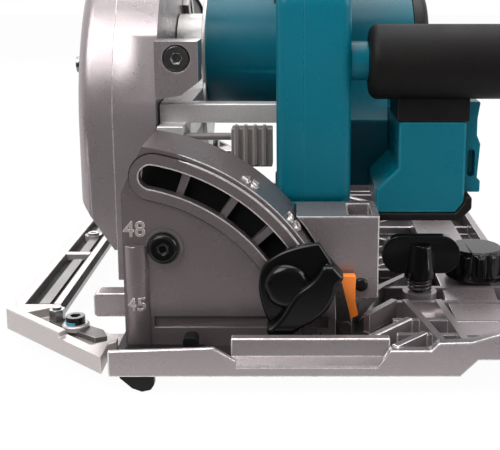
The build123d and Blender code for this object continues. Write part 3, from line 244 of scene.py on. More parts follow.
class Effects:
    """Shared surface effects, each one node group."""

    def __init__(self) -> None:
        """Build every group once."""
        self.grain = self._grain()
        self.wear_and_highlight = self._wear_and_highlight()
        self.smudge = self._smudge()

    def _grain(self) -> bpy.types.NodeTree:
        """Fine pitted grain of a blasted casting or an eroded mould.

        Returns:
            Group with a mask and a height.
        """
        group, kit, inlet, outlet = new_group(
            "saw_grain",
            {"Scale": 1500.0, "Pits": 0.5},
            {"Mask": "NodeSocketFloat", "Height": "NodeSocketFloat"},
        )
        place = kit.add("ShaderNodeTexCoord")
        noise = kit.add("ShaderNodeTexNoise", Detail=3.0, Roughness=0.6)
        cells = kit.add("ShaderNodeTexVoronoi")
        mix = kit.add("ShaderNodeMix", data_type="FLOAT")
        kit.link(place.outputs["Object"], noise.inputs["Vector"])
        kit.link(place.outputs["Object"], cells.inputs["Vector"])
        kit.link(inlet.outputs["Scale"], noise.inputs["Scale"])
        kit.link(inlet.outputs["Scale"], cells.inputs["Scale"])
        kit.link(inlet.outputs["Pits"], mix.inputs["Factor"])
        kit.link(noise.outputs["Fac"], mix.inputs["A"])
        kit.link(cells.outputs["Distance"], mix.inputs["B"])
        kit.link(noise.outputs["Fac"], outlet.inputs["Mask"])
        kit.link(mix.outputs["Result"], outlet.inputs["Height"])
        return group

    def _wear_and_highlight(self) -> bpy.types.NodeTree:
        """Edge mask for scuffing and a painted edge highlight, read from the piece's own edge attribute
        and broken up by noise.

        Returns:
            Group with a mask.
        """
        group, kit, inlet, outlet = new_group(
            "saw_edge_wear_and_highlight", {"Amount": 0.8, "Breakup": 220.0}, {"Mask": "NodeSocketFloat"}
        )
        place = kit.add("ShaderNodeTexCoord")
        scuff_and_highlight_attr = kit.add("ShaderNodeAttribute", attribute_name="wear_and_highlight")
        noise = kit.add("ShaderNodeTexNoise", Detail=4.0, Roughness=0.65)
        lift = kit.add("ShaderNodeMapRange", From_Min=0.3, From_Max=0.62, To_Min=0.35, To_Max=1.0)
        scuffed_and_lit = kit.add("ShaderNodeMath", operation="MULTIPLY")
        scaled = kit.add("ShaderNodeMath", operation="MULTIPLY", use_clamp=True)
        kit.link(place.outputs["Object"], noise.inputs["Vector"])
        kit.link(inlet.outputs["Breakup"], noise.inputs["Scale"])
        kit.link(noise.outputs["Fac"], lift.inputs["Value"])
        kit.link(scuff_and_highlight_attr.outputs["Fac"], scuffed_and_lit.inputs[0])
        kit.link(lift.outputs["Result"], scuffed_and_lit.inputs[1])
        kit.link(scuffed_and_lit.outputs["Value"], scaled.inputs[0])
        kit.link(inlet.outputs["Amount"], scaled.inputs[1])
        kit.link(scaled.outputs["Value"], outlet.inputs["Mask"])
        return group

    def _smudge(self) -> bpy.types.NodeTree:
        """Soft handling marks and dust that vary the gloss.

        Returns:
            Group with a mask.
        """
        group, kit, inlet, outlet = new_group(
            "saw_smudge", {"Scale": 40.0, "Low": 0.0, "High": 1.0}, {"Mask": "NodeSocketFloat"}
        )
        place = kit.add("ShaderNodeTexCoord")
        noise = kit.add("ShaderNodeTexNoise", Detail=5.0, Roughness=0.55, Distortion=0.4)
        span = kit.add("ShaderNodeMapRange", From_Min=0.32, From_Max=0.68)
        kit.link(place.outputs["Object"], noise.inputs["Vector"])
        kit.link(inlet.outputs["Scale"], noise.inputs["Scale"])
        kit.link(noise.outputs["Fac"], span.inputs["Value"])
        kit.link(inlet.outputs["Low"], span.inputs["To Min"])
        kit.link(inlet.outputs["High"], span.inputs["To Max"])
        kit.link(span.outputs["Result"], outlet.inputs["Mask"])
        return group


@dataclass(frozen=True)
class Finish:
    """One surface finish: colour, gloss, grain, and edges brightened for scuffing and as a painted
    highlight.
    """

    slot: Slot
    colour: Colour
    second: Colour
    metal: float
    gloss_low: float
    gloss_high: float
    grain_scale: float
    grain_depth: float
    pits: float = 0.4
    edge: Colour = (0.6, 0.6, 0.6)
    edge_amount: float = 0.0
    edge_gloss: float = 0.28
    smudge_scale: float = 45.0
    specular: float = 0.5

    def build(self, name: str, effects: Effects) -> bpy.types.Material:
        """Make the material.

        Args:
            name: Name of the finish.
            effects: The shared node groups.

        Returns:
            The finished material.
        """
        material = bpy.data.materials.new(f"saw_{name}")
        material.use_nodes = True
        kit = NodeKit(material.node_tree)
        shader = material.node_tree.nodes["Principled BSDF"]
        shader.inputs["Metallic"].default_value = self.metal
        shader.inputs["Specular IOR Level"].default_value = self.specular
        grain = kit.add("ShaderNodeGroup", node_tree=effects.grain)
        grain.inputs["Scale"].default_value = self.grain_scale
        grain.inputs["Pits"].default_value = self.pits
        smudge = kit.add("ShaderNodeGroup", node_tree=effects.smudge)
        smudge.inputs["Scale"].default_value = self.smudge_scale
        smudge.inputs["Low"].default_value = self.gloss_low
        smudge.inputs["High"].default_value = self.gloss_high
        tone = kit.add("ShaderNodeMix", data_type="RGBA")
        tone.inputs[COLOUR_A].default_value = (*self.colour, 1.0)
        tone.inputs[COLOUR_B].default_value = (*self.second, 1.0)
        contrast = kit.add("ShaderNodeMapRange", From_Min=0.35, From_Max=0.65)
        kit.link(grain.outputs["Mask"], contrast.inputs["Value"])
        kit.link(contrast.outputs["Result"], tone.inputs["Factor"])
        bump = kit.add("ShaderNodeBump", Strength=0.6, Distance=self.grain_depth)
        kit.link(grain.outputs["Height"], bump.inputs["Height"])
        kit.link(bump.outputs["Normal"], shader.inputs["Normal"])
        if self.edge_amount > 0.0:
            self._wear_and_highlight_edges(kit, effects, shader, tone.outputs[COLOUR_OUT], smudge.outputs["Mask"])
        else:
            kit.link(tone.outputs[COLOUR_OUT], shader.inputs["Base Color"])
            kit.link(smudge.outputs["Mask"], shader.inputs["Roughness"])
        return material

    def _wear_and_highlight_edges(
        self,
        kit: NodeKit,
        effects: Effects,
        shader: bpy.types.Node,
        tone: bpy.types.NodeSocket,
        gloss: bpy.types.NodeSocket,
    ) -> None:
        """Brighten the edges for scuffing and as a painted highlight, and polish them.

        Args:
            kit: Kit on the material's tree.
            effects: The shared node groups.
            shader: The Principled shader.
            tone: Socket with the flat colour.
            gloss: Socket with the flat roughness.
        """
        wear_and_highlight = kit.add("ShaderNodeGroup", node_tree=effects.wear_and_highlight)
        wear_and_highlight.inputs["Amount"].default_value = self.edge_amount
        paint = kit.add("ShaderNodeMix", data_type="RGBA")
        paint.inputs[COLOUR_B].default_value = (*self.edge, 1.0)
        polish = kit.add("ShaderNodeMix", data_type="FLOAT")
        polish.inputs[FLOAT_B].default_value = self.edge_gloss
        kit.link(wear_and_highlight.outputs["Mask"], paint.inputs["Factor"])
        kit.link(wear_and_highlight.outputs["Mask"], polish.inputs["Factor"])
        kit.link(tone, paint.inputs[COLOUR_A])
        kit.link(gloss, polish.inputs[FLOAT_A])
        kit.link(paint.outputs[COLOUR_OUT], shader.inputs["Base Color"])
        kit.link(polish.outputs["Result"], shader.inputs["Roughness"])


# Edge colours are lighter than the body colours: partly scuffing, partly a painted highlight along the
# rounded edges.
FINISHES: dict[Coat, Finish] = {
    Coat.CASTING: Finish(
        Slot.CASTING, (0.3, 0.262, 0.27), (0.355, 0.31, 0.32), 0.66, 0.25, 0.33, 1700.0, 0.00008,
        edge=(0.9, 0.86, 0.86), edge_amount=0.8, edge_gloss=0.26,
    ),
    # Casting finish darkened as painted shade, for the front-facing quadrant.
    Coat.DARK_CASTING: Finish(
        Slot.CASTING, (0.175, 0.147, 0.15), (0.21, 0.177, 0.181), 0.62, 0.25, 0.33, 1700.0, 0.00008,
        edge=(0.95, 0.9, 0.9), edge_amount=0.9, edge_gloss=0.26,
    ),
    # Near-black finish for the painted shade in the base's pockets.
    Coat.DEEP_CASTING: Finish(
        Slot.CASTING, (0.03, 0.024, 0.024), (0.04, 0.032, 0.032), 0.3, 0.4, 0.5, 1700.0, 0.00008,
        specular=0.25,
    ),
    # Lighter copy of the casting finish: painted light and a painted reflection of the white room, as on
    # the sub-base's top.
    Coat.PALE_CASTING: Finish(
        Slot.CASTING, (0.44, 0.4, 0.39), (0.5, 0.455, 0.445), 0.5, 0.3, 0.4, 1700.0, 0.00012,
        edge=(0.7, 0.67, 0.65), edge_amount=0.6, edge_gloss=0.26,
    ),
    Coat.FIGURE: Finish(
        Slot.CASTING, (0.3, 0.25, 0.25), (0.36, 0.3, 0.3), 0.4, 0.3, 0.4, 1700.0, 0.00006,
        edge=(0.95, 0.92, 0.9), edge_amount=0.9, edge_gloss=0.24,
    ),
    Coat.STEEL: Finish(
        Slot.STEEL, (0.26, 0.255, 0.25), (0.32, 0.315, 0.31), 1.0, 0.22, 0.34, 900.0, 0.00003,
        edge=(0.6, 0.6, 0.59), edge_amount=0.5, edge_gloss=0.2,
    ),
    Coat.DULL_STEEL: Finish(
        Slot.STEEL, (0.13, 0.12, 0.12), (0.17, 0.158, 0.158), 0.8, 0.42, 0.54, 900.0, 0.00004,
        edge=(0.55, 0.54, 0.53), edge_amount=0.6, edge_gloss=0.3,
    ),
    Coat.BLACK_STEEL: Finish(
        Slot.BLACK_STEEL, (0.01, 0.01, 0.011), (0.017, 0.017, 0.018), 0.3, 0.16, 0.28, 1200.0, 0.00003,
        edge=(0.12, 0.12, 0.12), edge_amount=0.4,
    ),
    Coat.DARK_STEEL: Finish(
        Slot.BLACK_STEEL, (0.05, 0.046, 0.045), (0.075, 0.069, 0.067), 0.6, 0.3, 0.42, 1200.0, 0.00005,
        edge=(0.3, 0.29, 0.28), edge_amount=0.5,
    ),
    Coat.BLADE: Finish(
        Slot.BLADE, (0.55, 0.55, 0.54), (0.63, 0.63, 0.62), 1.0, 0.22, 0.34, 600.0, 0.00003,
        edge=(0.8, 0.8, 0.8), edge_amount=0.4,
    ),
    Coat.CARBIDE: Finish(
        Slot.BLADE, (0.2, 0.2, 0.21), (0.28, 0.28, 0.29), 1.0, 0.3, 0.42, 1500.0, 0.00003,
    ),
    Coat.GEARBOX: Finish(
        Slot.GEARBOX, (0.52, 0.5, 0.49), (0.6, 0.58, 0.57), 0.5, 0.26, 0.38, 1300.0, 0.00012,
        edge=(0.78, 0.77, 0.75), edge_amount=0.6,
    ),
    Coat.SHELL: Finish(
        Slot.SHELL, (0.0, 0.104, 0.148), (0.0, 0.116, 0.164), 0.0, 0.24, 0.34, 2600.0, 0.00005,
        pits=0.25, edge=(0.03, 0.22, 0.27), edge_amount=0.35, edge_gloss=0.22, specular=0.22,
    ),
    Coat.GLOSS_BLACK: Finish(
        Slot.PLASTIC, (0.0025, 0.0025, 0.0027), (0.0035, 0.0035, 0.0038), 0.0, 0.12, 0.2, 1800.0, 0.00002,
        edge=(0.02, 0.02, 0.02), edge_amount=0.3, specular=0.3,
    ),
    Coat.SATIN_BLACK: Finish(
        Slot.PLASTIC, (0.006, 0.006, 0.0064), (0.0085, 0.0085, 0.009), 0.0, 0.34, 0.46, 2200.0, 0.00008,
        pits=0.5, edge=(0.03, 0.03, 0.03), edge_amount=0.3, specular=0.2,
    ),
    Coat.GREY_PLASTIC: Finish(
        Slot.PLASTIC, (0.13, 0.117, 0.113), (0.165, 0.15, 0.145), 0.1, 0.3, 0.42, 1900.0, 0.00006,
        edge=(0.34, 0.32, 0.31), edge_amount=0.5,
    ),
    Coat.SHADOW_BLACK: Finish(
        Slot.PLASTIC, (0.003, 0.0026, 0.0026), (0.005, 0.0044, 0.0044), 0.0, 0.55, 0.7, 1600.0, 0.00006,
        specular=0.2,
    ),
    Coat.RUBBER: Finish(
        Slot.RUBBER, (0.006, 0.0052, 0.005), (0.009, 0.0078, 0.0075), 0.0, 0.46, 0.6, 1500.0, 0.00016,
        pits=0.7, edge=(0.03, 0.026, 0.025), edge_amount=0.3, edge_gloss=0.4, specular=0.15,
    ),
    Coat.ORANGE: Finish(
        Slot.ORANGE, (1.0, 0.225, 0.018), (1.0, 0.26, 0.03), 0.0, 0.3, 0.44, 1800.0, 0.00003,
        edge=(1.0, 0.45, 0.14), edge_amount=0.3,
    ),
    Coat.RED: Finish(
        Slot.RED, (0.42, 0.012, 0.01), (0.48, 0.018, 0.014), 0.0, 0.28, 0.42, 1800.0, 0.00003,
    ),
    Coat.THREADLOCK: Finish(
        Slot.BLACK_STEEL, (0.03, 0.26, 0.42), (0.06, 0.36, 0.52), 0.0, 0.4, 0.6, 900.0, 0.0001,
    ),
    Coat.LAMINATIONS: Finish(
        Slot.LAMINATIONS, (0.16, 0.15, 0.14), (0.24, 0.23, 0.22), 0.8, 0.35, 0.5, 500.0, 0.0001,
    ),
}


class Workshop:
    """The loaded frame with its finishes, and the steps every piece shares."""

    MERGE = 0.002 * MM
    FLAT = math.radians(0.4)

    def __init__(self) -> None:
        """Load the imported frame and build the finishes."""
        self.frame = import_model()
        deselect()
        self.record = self.frame["record"]
        effects = Effects()
        self.materials = {coat: finish.build(coat.value, effects) for coat, finish in FINISHES.items()}
        self.node_body = {
            node: body for body, nodes in self.record["behaviour"]["bodies"].items() for node in nodes
        }

    def dress(self, obj: bpy.types.Object, coat: Coat) -> None:
        """Give a piece one finish.

        Args:
            obj: The piece.
            coat: The finish it takes.
        """
        obj.data.materials.clear()
        obj.data.materials.append(self.materials[coat])

    def finish_piece(self, obj: bpy.types.Object, coat: Coat, body: str, *nodes: str) -> bpy.types.Object:
        """Dress a new piece, tie it to its body and say which nodes it stands for.

        Args:
            obj: The finished mesh, settled at the origin.
            coat: The finish it takes.
            body: CAD body it rides on.
            nodes: CAD nodes that it replaces.

        Returns:
            The piece.
        """
        self.dress(obj, coat)
        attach(obj, body)
        if nodes:
            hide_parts(*nodes)
        LOG.info("piece %s on %s", obj.name, body)
        return obj

    def keep(self, node: str, coat: Coat) -> None:
        """Keep a CAD node as it is, with a better material.

        Args:
            node: Name of the node.
            coat: The finish it takes.
        """
        self.dress(self.frame["nodes"][node], coat)
        LOG.info("node %s kept", node)

    def copy_node(self, node: str, name: str) -> bpy.types.Object:
        """Copy a CAD node's mesh into a new object, with its loose triangles merged into faces.

        Args:
            node: Name of the node.
            name: Name of the new object.

        Returns:
            The copy.
        """
        obj = bpy.data.objects.new(name, self.frame["nodes"][node].data.copy())
        bpy.context.scene.collection.objects.link(obj)
        activate(obj)
        obj.data.materials.clear()
        bpy.ops.object.mode_set(mode="EDIT")
        bpy.ops.mesh.select_all(action="SELECT")
        bpy.ops.mesh.remove_doubles(threshold=self.MERGE)
        bpy.ops.mesh.dissolve_limited(angle_limit=self.FLAT)
        bpy.ops.object.mode_set(mode="OBJECT")
        return obj

    def soften(self, node: str, coat: Coat, width: float) -> bpy.types.Object:
        """Stand a copy of a CAD node with rounded edges in the node's place.

        Args:
            node: Name of the node.
            coat: The finish it takes.
            width: Rounding width in millimetres.

        Returns:
            The rounded piece.
        """
        obj = self.copy_node(node, f"{node}_rounded")
        Bench.round_edges(obj, width * MM)
        return self.finish_piece(obj, coat, self.node_body[node], node)


class Bench:
    """Modelling steps shared by all new pieces."""

    SHARP = math.radians(28.0)
    ROUNDING_TRIES = 8
    PROBES = (0.1, 0.5, 0.9)
    PROBE_STEP = 0.02
    ROOM_SHARE = 0.42
    FOLD_AREA = 0.04
    EASE_REACH = 1.5
    EASE_GROWTH = 1.8
    EASE_FROM = 0.4
    EASED = 0.3
    ALIGNED = 0.99

    @staticmethod
    def weigh_edges(obj: bpy.types.Object, width: float) -> None:
        """Give each sharp edge a bevel weight that its neighbouring faces leave room for.

        Args:
            obj: The mesh to weigh.
            width: Widest rounding in metres.
        """
        mesh = obj.data
        corners = [vertex.co.copy() for vertex in mesh.vertices]
        tree = BVHTree.FromPolygons(corners, [list(face.vertices) for face in mesh.polygons])
        sides: dict[tuple[int, int], list[int]] = {}
        for face in mesh.polygons:
            for key in face.edge_keys:
                sides.setdefault(key, []).append(face.index)
        weights = mesh.attributes.new("bevel_weight_edge", "FLOAT", "EDGE")
        for edge in mesh.edges:
            faces = [mesh.polygons[index] for index in sides.get(edge.key, [])]
            if len(faces) != 2 or faces[0].normal.angle(faces[1].normal, 0.0) < Bench.SHARP:
                continue
            room = min(Bench.room_across(tree, corners, edge, face, width) for face in faces)
            weights.data[edge.index].value = min(1.0, room / width)

    @staticmethod
    def room_across(
        tree: BVHTree,
        corners: list[Vector],
        edge: bpy.types.MeshEdge,
        face: bpy.types.MeshPolygon,
        width: float,
    ) -> float:
        """Measure how wide a rounding one face takes beside one of its edges.

        Args:
            tree: Search tree of the whole mesh.
            corners: Places of the vertices.
            edge: The edge to round.
            face: One of the edge's faces.
            width: Widest rounding in metres.

        Returns:
            The width that fits.
        """
        start, end = (corners[index] for index in edge.vertices)
        loop = list(face.vertices)
        after = loop[(loop.index(edge.vertices[0]) + 1) % len(loop)]
        along = end - start if after == edge.vertices[1] else start - end
        inward = face.normal.cross(along).normalized()
        room = width
        for share in Bench.PROBES:
            for level in (-Bench.PROBE_STEP * MM, Bench.PROBE_STEP * MM):
                probe = start.lerp(end, share) + inward * Bench.PROBE_STEP * MM + face.normal * level
                reach = tree.ray_cast(probe, inward, width * 4.0)[3]
                if reach is not None:
                    room = min(room, Bench.ROOM_SHARE * reach)
        return room

    @staticmethod
    def round_edges(obj: bpy.types.Object, width: float, segments: int = 2) -> None:
        """Round the sharp edges of a piece, mark them for scuffing and a painted edge highlight, and shade
        it.

        Args:
            obj: The mesh.
            width: Widest rounding in metres.
            segments: Facets across each rounding.
        """
        Bench.weigh_edges(obj, width)
        for _ in range(2):
            obj.data.materials.append(None)
        source = obj.data
        for attempt in range(Bench.ROUNDING_TRIES):
            obj.data = source.copy()
            apply(
                obj,
                "BEVEL",
                width=width,
                segments=segments,
                limit_method="WEIGHT",
                material=1,
                use_clamp_overlap=False,
            )
            folds = Bench.folds(obj)
            if not folds:
                break
            Bench.ease_edges(source, folds, Bench.EASE_REACH * width * Bench.EASE_GROWTH**attempt)
        else:
            LOG.warning("%s keeps its sharp edges", obj.name)
            obj.data = source.copy()
        Bench.mark_edges(obj)
        smooth(obj)
        apply(obj, "WEIGHTED_NORMAL", keep_sharp=True, weight=80)

    @staticmethod
    def folds(obj: bpy.types.Object) -> list[Vector]:
        """Find places where a rounding has folded a face over itself.

        Args:
            obj: The rounded mesh.

        Returns:
            Places of the folds.
        """
        mesh = obj.data
        mesh.calc_loop_triangles()
        folded: dict[int, list[Vector]] = {}
        for triangle in mesh.loop_triangles:
            first, second, third = (mesh.vertices[index].co for index in triangle.vertices)
            across = (second - first).cross(third - first)
            face = mesh.polygons[triangle.polygon_index]
            if triangle.area > Bench.FOLD_AREA * MM**2 and across.dot(face.normal) < 0.0:
                folded.setdefault(face.index, []).extend((first, second, third))
        places: list[Vector] = []
        for index, corners in folded.items():
            face = mesh.polygons[index]
            outline = [mesh.vertices[corner].co for corner in face.vertices]
            places.extend(Bench.crossings(outline, face.normal) or corners)
        return [place.copy() for place in places]

    @staticmethod
    def crossings(outline: list[Vector], normal: Vector) -> list[Vector]:
        """Find where a flat outline crosses itself.

        Args:
            outline: Corners of the face.
            normal: Way that the face looks.

        Returns:
            Places of the crossings.
        """
        turn = normal.to_track_quat("Z", "Y").inverted()
        flat = [(turn @ corner).to_2d() for corner in outline]
        count = len(flat)
        places: list[Vector] = []
        for one in range(count):
            for two in range(one + 2, count):
                if (two + 1) % count == one:
                    continue
                ends = flat[one], flat[(one + 1) % count], flat[two], flat[(two + 1) % count]
                if intersect_line_line_2d(*ends) is not None:
                    places.append((outline[one] + outline[(one + 1) % count]) / 2)
                    places.append((outline[two] + outline[(two + 1) % count]) / 2)
                    places.extend((outline[one], outline[two]))
        return places

    @staticmethod
    def ease_edges(mesh: bpy.types.Mesh, places: list[Vector], reach: float) -> None:
        """Make the rounding narrower, and then none, beside the places where it folded.

        Args:
            mesh: The mesh before rounding.
            places: Places of the folds.
            reach: Distance from a fold within which edges are eased.
        """
        weights = mesh.attributes["bevel_weight_edge"].data
        for edge in mesh.edges:
            weight = weights[edge.index].value
            if weight == 0.0:
                continue
            start, end = (mesh.vertices[index].co for index in edge.vertices)
            for place in places:
                share = min(max(intersect_point_line(place, start, end)[1], 0.0), 1.0)
                if (start.lerp(end, share) - place).length < reach:
                    weights[edge.index].value = weight * Bench.EASED if weight > Bench.EASE_FROM else 0.0
                    break

    @staticmethod
    def mark_edges(obj: bpy.types.Object) -> None:
        """Turn the second material index of rounded edges into an edge attribute.

        Args:
            obj: The rounded piece.
        """
        wear_and_highlight = obj.data.attributes.new("wear_and_highlight", "FLOAT", "FACE")
        for face in obj.data.polygons:
            wear_and_highlight.data[face.index].value = float(face.material_index == 1)
            face.material_index = 0

    @staticmethod
    def box(name: str, low: Point, high: Point) -> bpy.types.Object:
        """Add a block between two corners in millimetres.

        Args:
            name: Name of the piece.
            low: Lowest corner.
            high: Highest corner.

        Returns:
            The block, settled at the origin.
        """
        deselect()
        bpy.ops.mesh.primitive_cube_add(size=1.0, location=[(a + b) / 2 * MM for a, b in zip(low, high)])
        obj = bpy.context.object
        obj.name = name
        obj.scale = [(b - a) * MM for a, b in zip(low, high)]
        settle(obj)
        return obj

    @staticmethod
    def drum(
        name: str, centre: Point, facing: Facing, radius: float, depth: float, sides: int = 32
    ) -> bpy.types.Object:
        """Add a round or many-sided bar about a centre in millimetres.

        Args:
            name: Name of the piece.
            centre: Its middle.
            facing: The axis it stands on.
            radius: Its radius.
            depth: Its length.
            sides: Facets around it.

        Returns:
            The bar, settled at the origin.
        """
        deselect()
        bpy.ops.mesh.primitive_cylinder_add(
            vertices=sides,
            radius=radius * MM,
            depth=depth * MM,
            location=[value * MM for value in centre],
            rotation=facing.value,
        )
        obj = bpy.context.object
        obj.name = name
        settle(obj)
        return obj

    @staticmethod
    def pick(obj: bpy.types.Object, wanted: Callable[[bpy.types.MeshPolygon], bool]) -> None:
        """Enter edit mode with only some faces selected.

        Args:
            obj: The mesh.
            wanted: Test that chooses the faces.
        """
        activate(obj)
        bpy.ops.object.mode_set(mode="EDIT")
        bpy.ops.mesh.select_mode(type="FACE")
        bpy.ops.mesh.select_all(action="DESELECT")
        bpy.ops.object.mode_set(mode="OBJECT")
        for face in obj.data.polygons:
            face.select = wanted(face)
        bpy.ops.object.mode_set(mode="EDIT")

    @staticmethod
    def inset(obj: bpy.types.Object, normal: Point, thickness: float, depth: float) -> None:
        """Inset the faces that look one way, and push them in or out.

        Args:
            obj: The mesh.
            normal: Way that the faces look.
            thickness: Width of the border in millimetres.
            depth: Rise of the inner face in millimetres.
        """
        way = Vector(normal)
        Bench.pick(obj, lambda face: face.normal.dot(way) > Bench.ALIGNED)
        bpy.ops.mesh.inset(thickness=thickness * MM, depth=0.0)
        bpy.ops.transform.translate(value=way * depth * MM)
        bpy.ops.object.mode_set(mode="OBJECT")

    @staticmethod
    def round_corners(obj: bpy.types.Object, axis: Point, radius: float, segments: int = 8) -> None:
        """Round the edges of a block that run along one axis.

        Args:
            obj: The block.
            axis: Direction of the edges.
            radius: Radius of the corners in millimetres.
            segments: Facets across each corner.
        """
        way = Vector(axis)
        Bench.pick(obj, lambda face: False)
        bpy.ops.mesh.select_mode(type="EDGE")
        bpy.ops.object.mode_set(mode="OBJECT")
        corners = [vertex.co.copy() for vertex in obj.data.vertices]
        for edge in obj.data.edges:
            run = (corners[edge.vertices[1]] - corners[edge.vertices[0]]).normalized()
            edge.select = abs(run.dot(way)) > Bench.ALIGNED
        bpy.ops.object.mode_set(mode="EDIT")
        bpy.ops.mesh.bevel(offset=radius * MM, segments=segments, affect="EDGES")
        bpy.ops.object.mode_set(mode="OBJECT")

    @staticmethod
    def cut(obj: bpy.types.Object, tool: bpy.types.Object) -> None:
        """Cut one mesh out of another and remove the tool.

        Args:
            obj: The mesh to cut.
            tool: The mesh to take away.
        """
        apply(obj, "BOOLEAN", operation="DIFFERENCE", object=tool, solver="EXACT")
        bpy.data.objects.remove(tool)

    @staticmethod
    def join(name: str, pieces: list[bpy.types.Object]) -> bpy.types.Object:
        """Join meshes into one piece.

        Args:
            name: Name of the joined piece.
            pieces: The meshes.

        Returns:
            The joined piece.
        """
        activate(pieces[0])
        for piece in pieces:
            piece.select_set(True)
        bpy.ops.object.join()
        pieces[0].name = name
        return pieces[0]

    @staticmethod
    def copy(obj: bpy.types.Object, name: str, place: Matrix) -> bpy.types.Object:
        """Copy a finished mesh to another place.

        Args:
            obj: The mesh that was modelled.
            name: Name of the copy.
            place: Move or turn of the copy.

        Returns:
            The copy with its own mesh, settled at the origin.
        """
        twin = bpy.data.objects.new(name, obj.data.copy())
        bpy.context.scene.collection.objects.link(twin)
        twin.matrix_world = place
        settle(twin)
        return twin

    @staticmethod
    def socket_screw(
        name: str, seat: Point, facing: Facing, outward: Point, radius: float, height: float, socket: float
    ) -> bpy.types.Object:
        """Make a domed screw head with a hexagon socket.

        Args:
            name: Name of the piece.
            seat: Middle of the face it sits on.
            facing: Axis of the screw.
            outward: Way that the head looks.
            radius: Radius of the head.
            height: Height of the head.
            socket: Radius of the socket.

        Returns:
            The screw head.
        """
        way = Vector(outward)
        middle = Vector(seat) + way * height / 2
        head = Bench.drum(name, tuple(middle), facing, radius, height, 40)
        top = Vector(seat) + way * height
        Bench.cut(head, Bench.drum("socket", tuple(top), facing, socket, height * 1.1, 6))
        Bench.round_edges(head, 0.3 * height * MM)
        return head

    @staticmethod
    def label(
        name: str, text: str, size: float, centre: Point, right: Point, up: Point, depth: float
    ) -> bpy.types.Object:
        """Make raised figures that lie in a plane.

        Args:
            name: Name of the piece.
            text: The figures.
            size: Height of the type in millimetres.
            centre: Middle of the figures in millimetres.
            right: Reading direction.
            up: Direction of the figures' tops.
            depth: Whole thickness in millimetres.

        Returns:
            The figures as a mesh, settled at the origin.
        """
        deselect()
        bpy.ops.object.text_add()
        obj = bpy.context.object
        obj.name = name
        obj.data.body = text
        obj.data.size = size * MM
        obj.data.extrude = depth / 2 * MM
        obj.data.bevel_depth = depth / 6 * MM
        obj.data.resolution_u = 3
        obj.data.align_x = "CENTER"
        obj.data.align_y = "CENTER"
        bpy.ops.object.convert(target="MESH")
        across, along = Vector(right), Vector(up)
        out = across.cross(along)
        turn = Matrix((across, along, out)).transposed().to_4x4()
        obj.matrix_world = Matrix.Translation(Vector(centre) * MM) @ turn
        settle(obj)
        # The figures' sides take the edge mask: scuffing plus a painted highlight.
        wear_and_highlight = obj.data.attributes.new("wear_and_highlight", "FLOAT", "FACE")
        for face in obj.data.polygons:
            wear_and_highlight.data[face.index].value = float(abs(face.normal.dot(out)) < 0.95)
        return obj

    @staticmethod
    def halve(obj: bpy.types.Object, at: Point, way: Point) -> None:
        """Cut away the part of a mesh that lies beyond a plane.

        Args:
            obj: The mesh.
            at: Point on the plane in millimetres.
            way: Side that goes.
        """
        activate(obj)
        bpy.ops.object.mode_set(mode="EDIT")
        bpy.ops.mesh.select_all(action="SELECT")
        bpy.ops.mesh.bisect(
            plane_co=[value * MM for value in at],
            plane_no=way,
            use_fill=True,
            clear_outer=True,
            threshold=1e-6,
        )
        bpy.ops.object.mode_set(mode="OBJECT")

    @staticmethod
    def arc_bar(
        name: str,
        axis: tuple[float, float],
        radii: tuple[float, float],
        y: tuple[float, float],
        angles: tuple[float, float],
        steps: int,
    ) -> bpy.types.Object:
        """Spin a rectangle about an axis along Y into a curved bar.

        Args:
            name: Name of the piece.
            axis: X and Z of the axis in millimetres.
            radii: Inner and outer radius.
            y: Front and back of the bar.
            angles: Start and end angle in degrees, from +X towards +Z.
            steps: Facets along the bar.

        Returns:
            The bar, settled at the origin.
        """
        deselect()
        centre = Vector((axis[0], (y[0] + y[1]) / 2, axis[1])) * MM
        bpy.ops.mesh.primitive_plane_add(size=1.0, location=centre)
        obj = bpy.context.object
        obj.name = name
        activate(obj)
        bpy.ops.object.mode_set(mode="EDIT")
        bpy.ops.mesh.select_all(action="SELECT")
        bpy.ops.transform.resize(value=((radii[1] - radii[0]) * MM, (y[1] - y[0]) * MM, 1.0))
        bpy.ops.transform.translate(value=(sum(radii) / 2 * MM, 0.0, 0.0))
        bpy.ops.mesh.spin(
            steps=steps, angle=math.radians(angles[1] - angles[0]), center=centre, axis=REAR
        )
        bpy.ops.mesh.select_all(action="SELECT")
        bpy.ops.mesh.remove_doubles(threshold=0.001 * MM)
        bpy.ops.mesh.normals_make_consistent(inside=False)
        bpy.ops.object.mode_set(mode="OBJECT")
        obj.rotation_euler = (0.0, -math.radians(angles[0]), 0.0)
        settle(obj)
        return obj


@dataclass(frozen=True)
class Lamp:
    """One square softbox: where it stands, what it points at, its side and its watts."""

    name: str
    at: Point
    to: Point
    size: float
    power: float

    def build(self) -> None:
        """Add the lamp to the scene."""
        data = bpy.data.lights.new(self.name, "AREA")
        data.shape = "SQUARE"
        data.size = self.size
        data.energy = self.power
        lamp = bpy.data.objects.new(self.name, data)
        lamp.location = self.at
        lamp.rotation_euler = (Vector(self.to) - Vector(self.at)).to_track_quat("-Z", "Y").to_euler()
        bpy.context.scene.collection.objects.link(lamp)


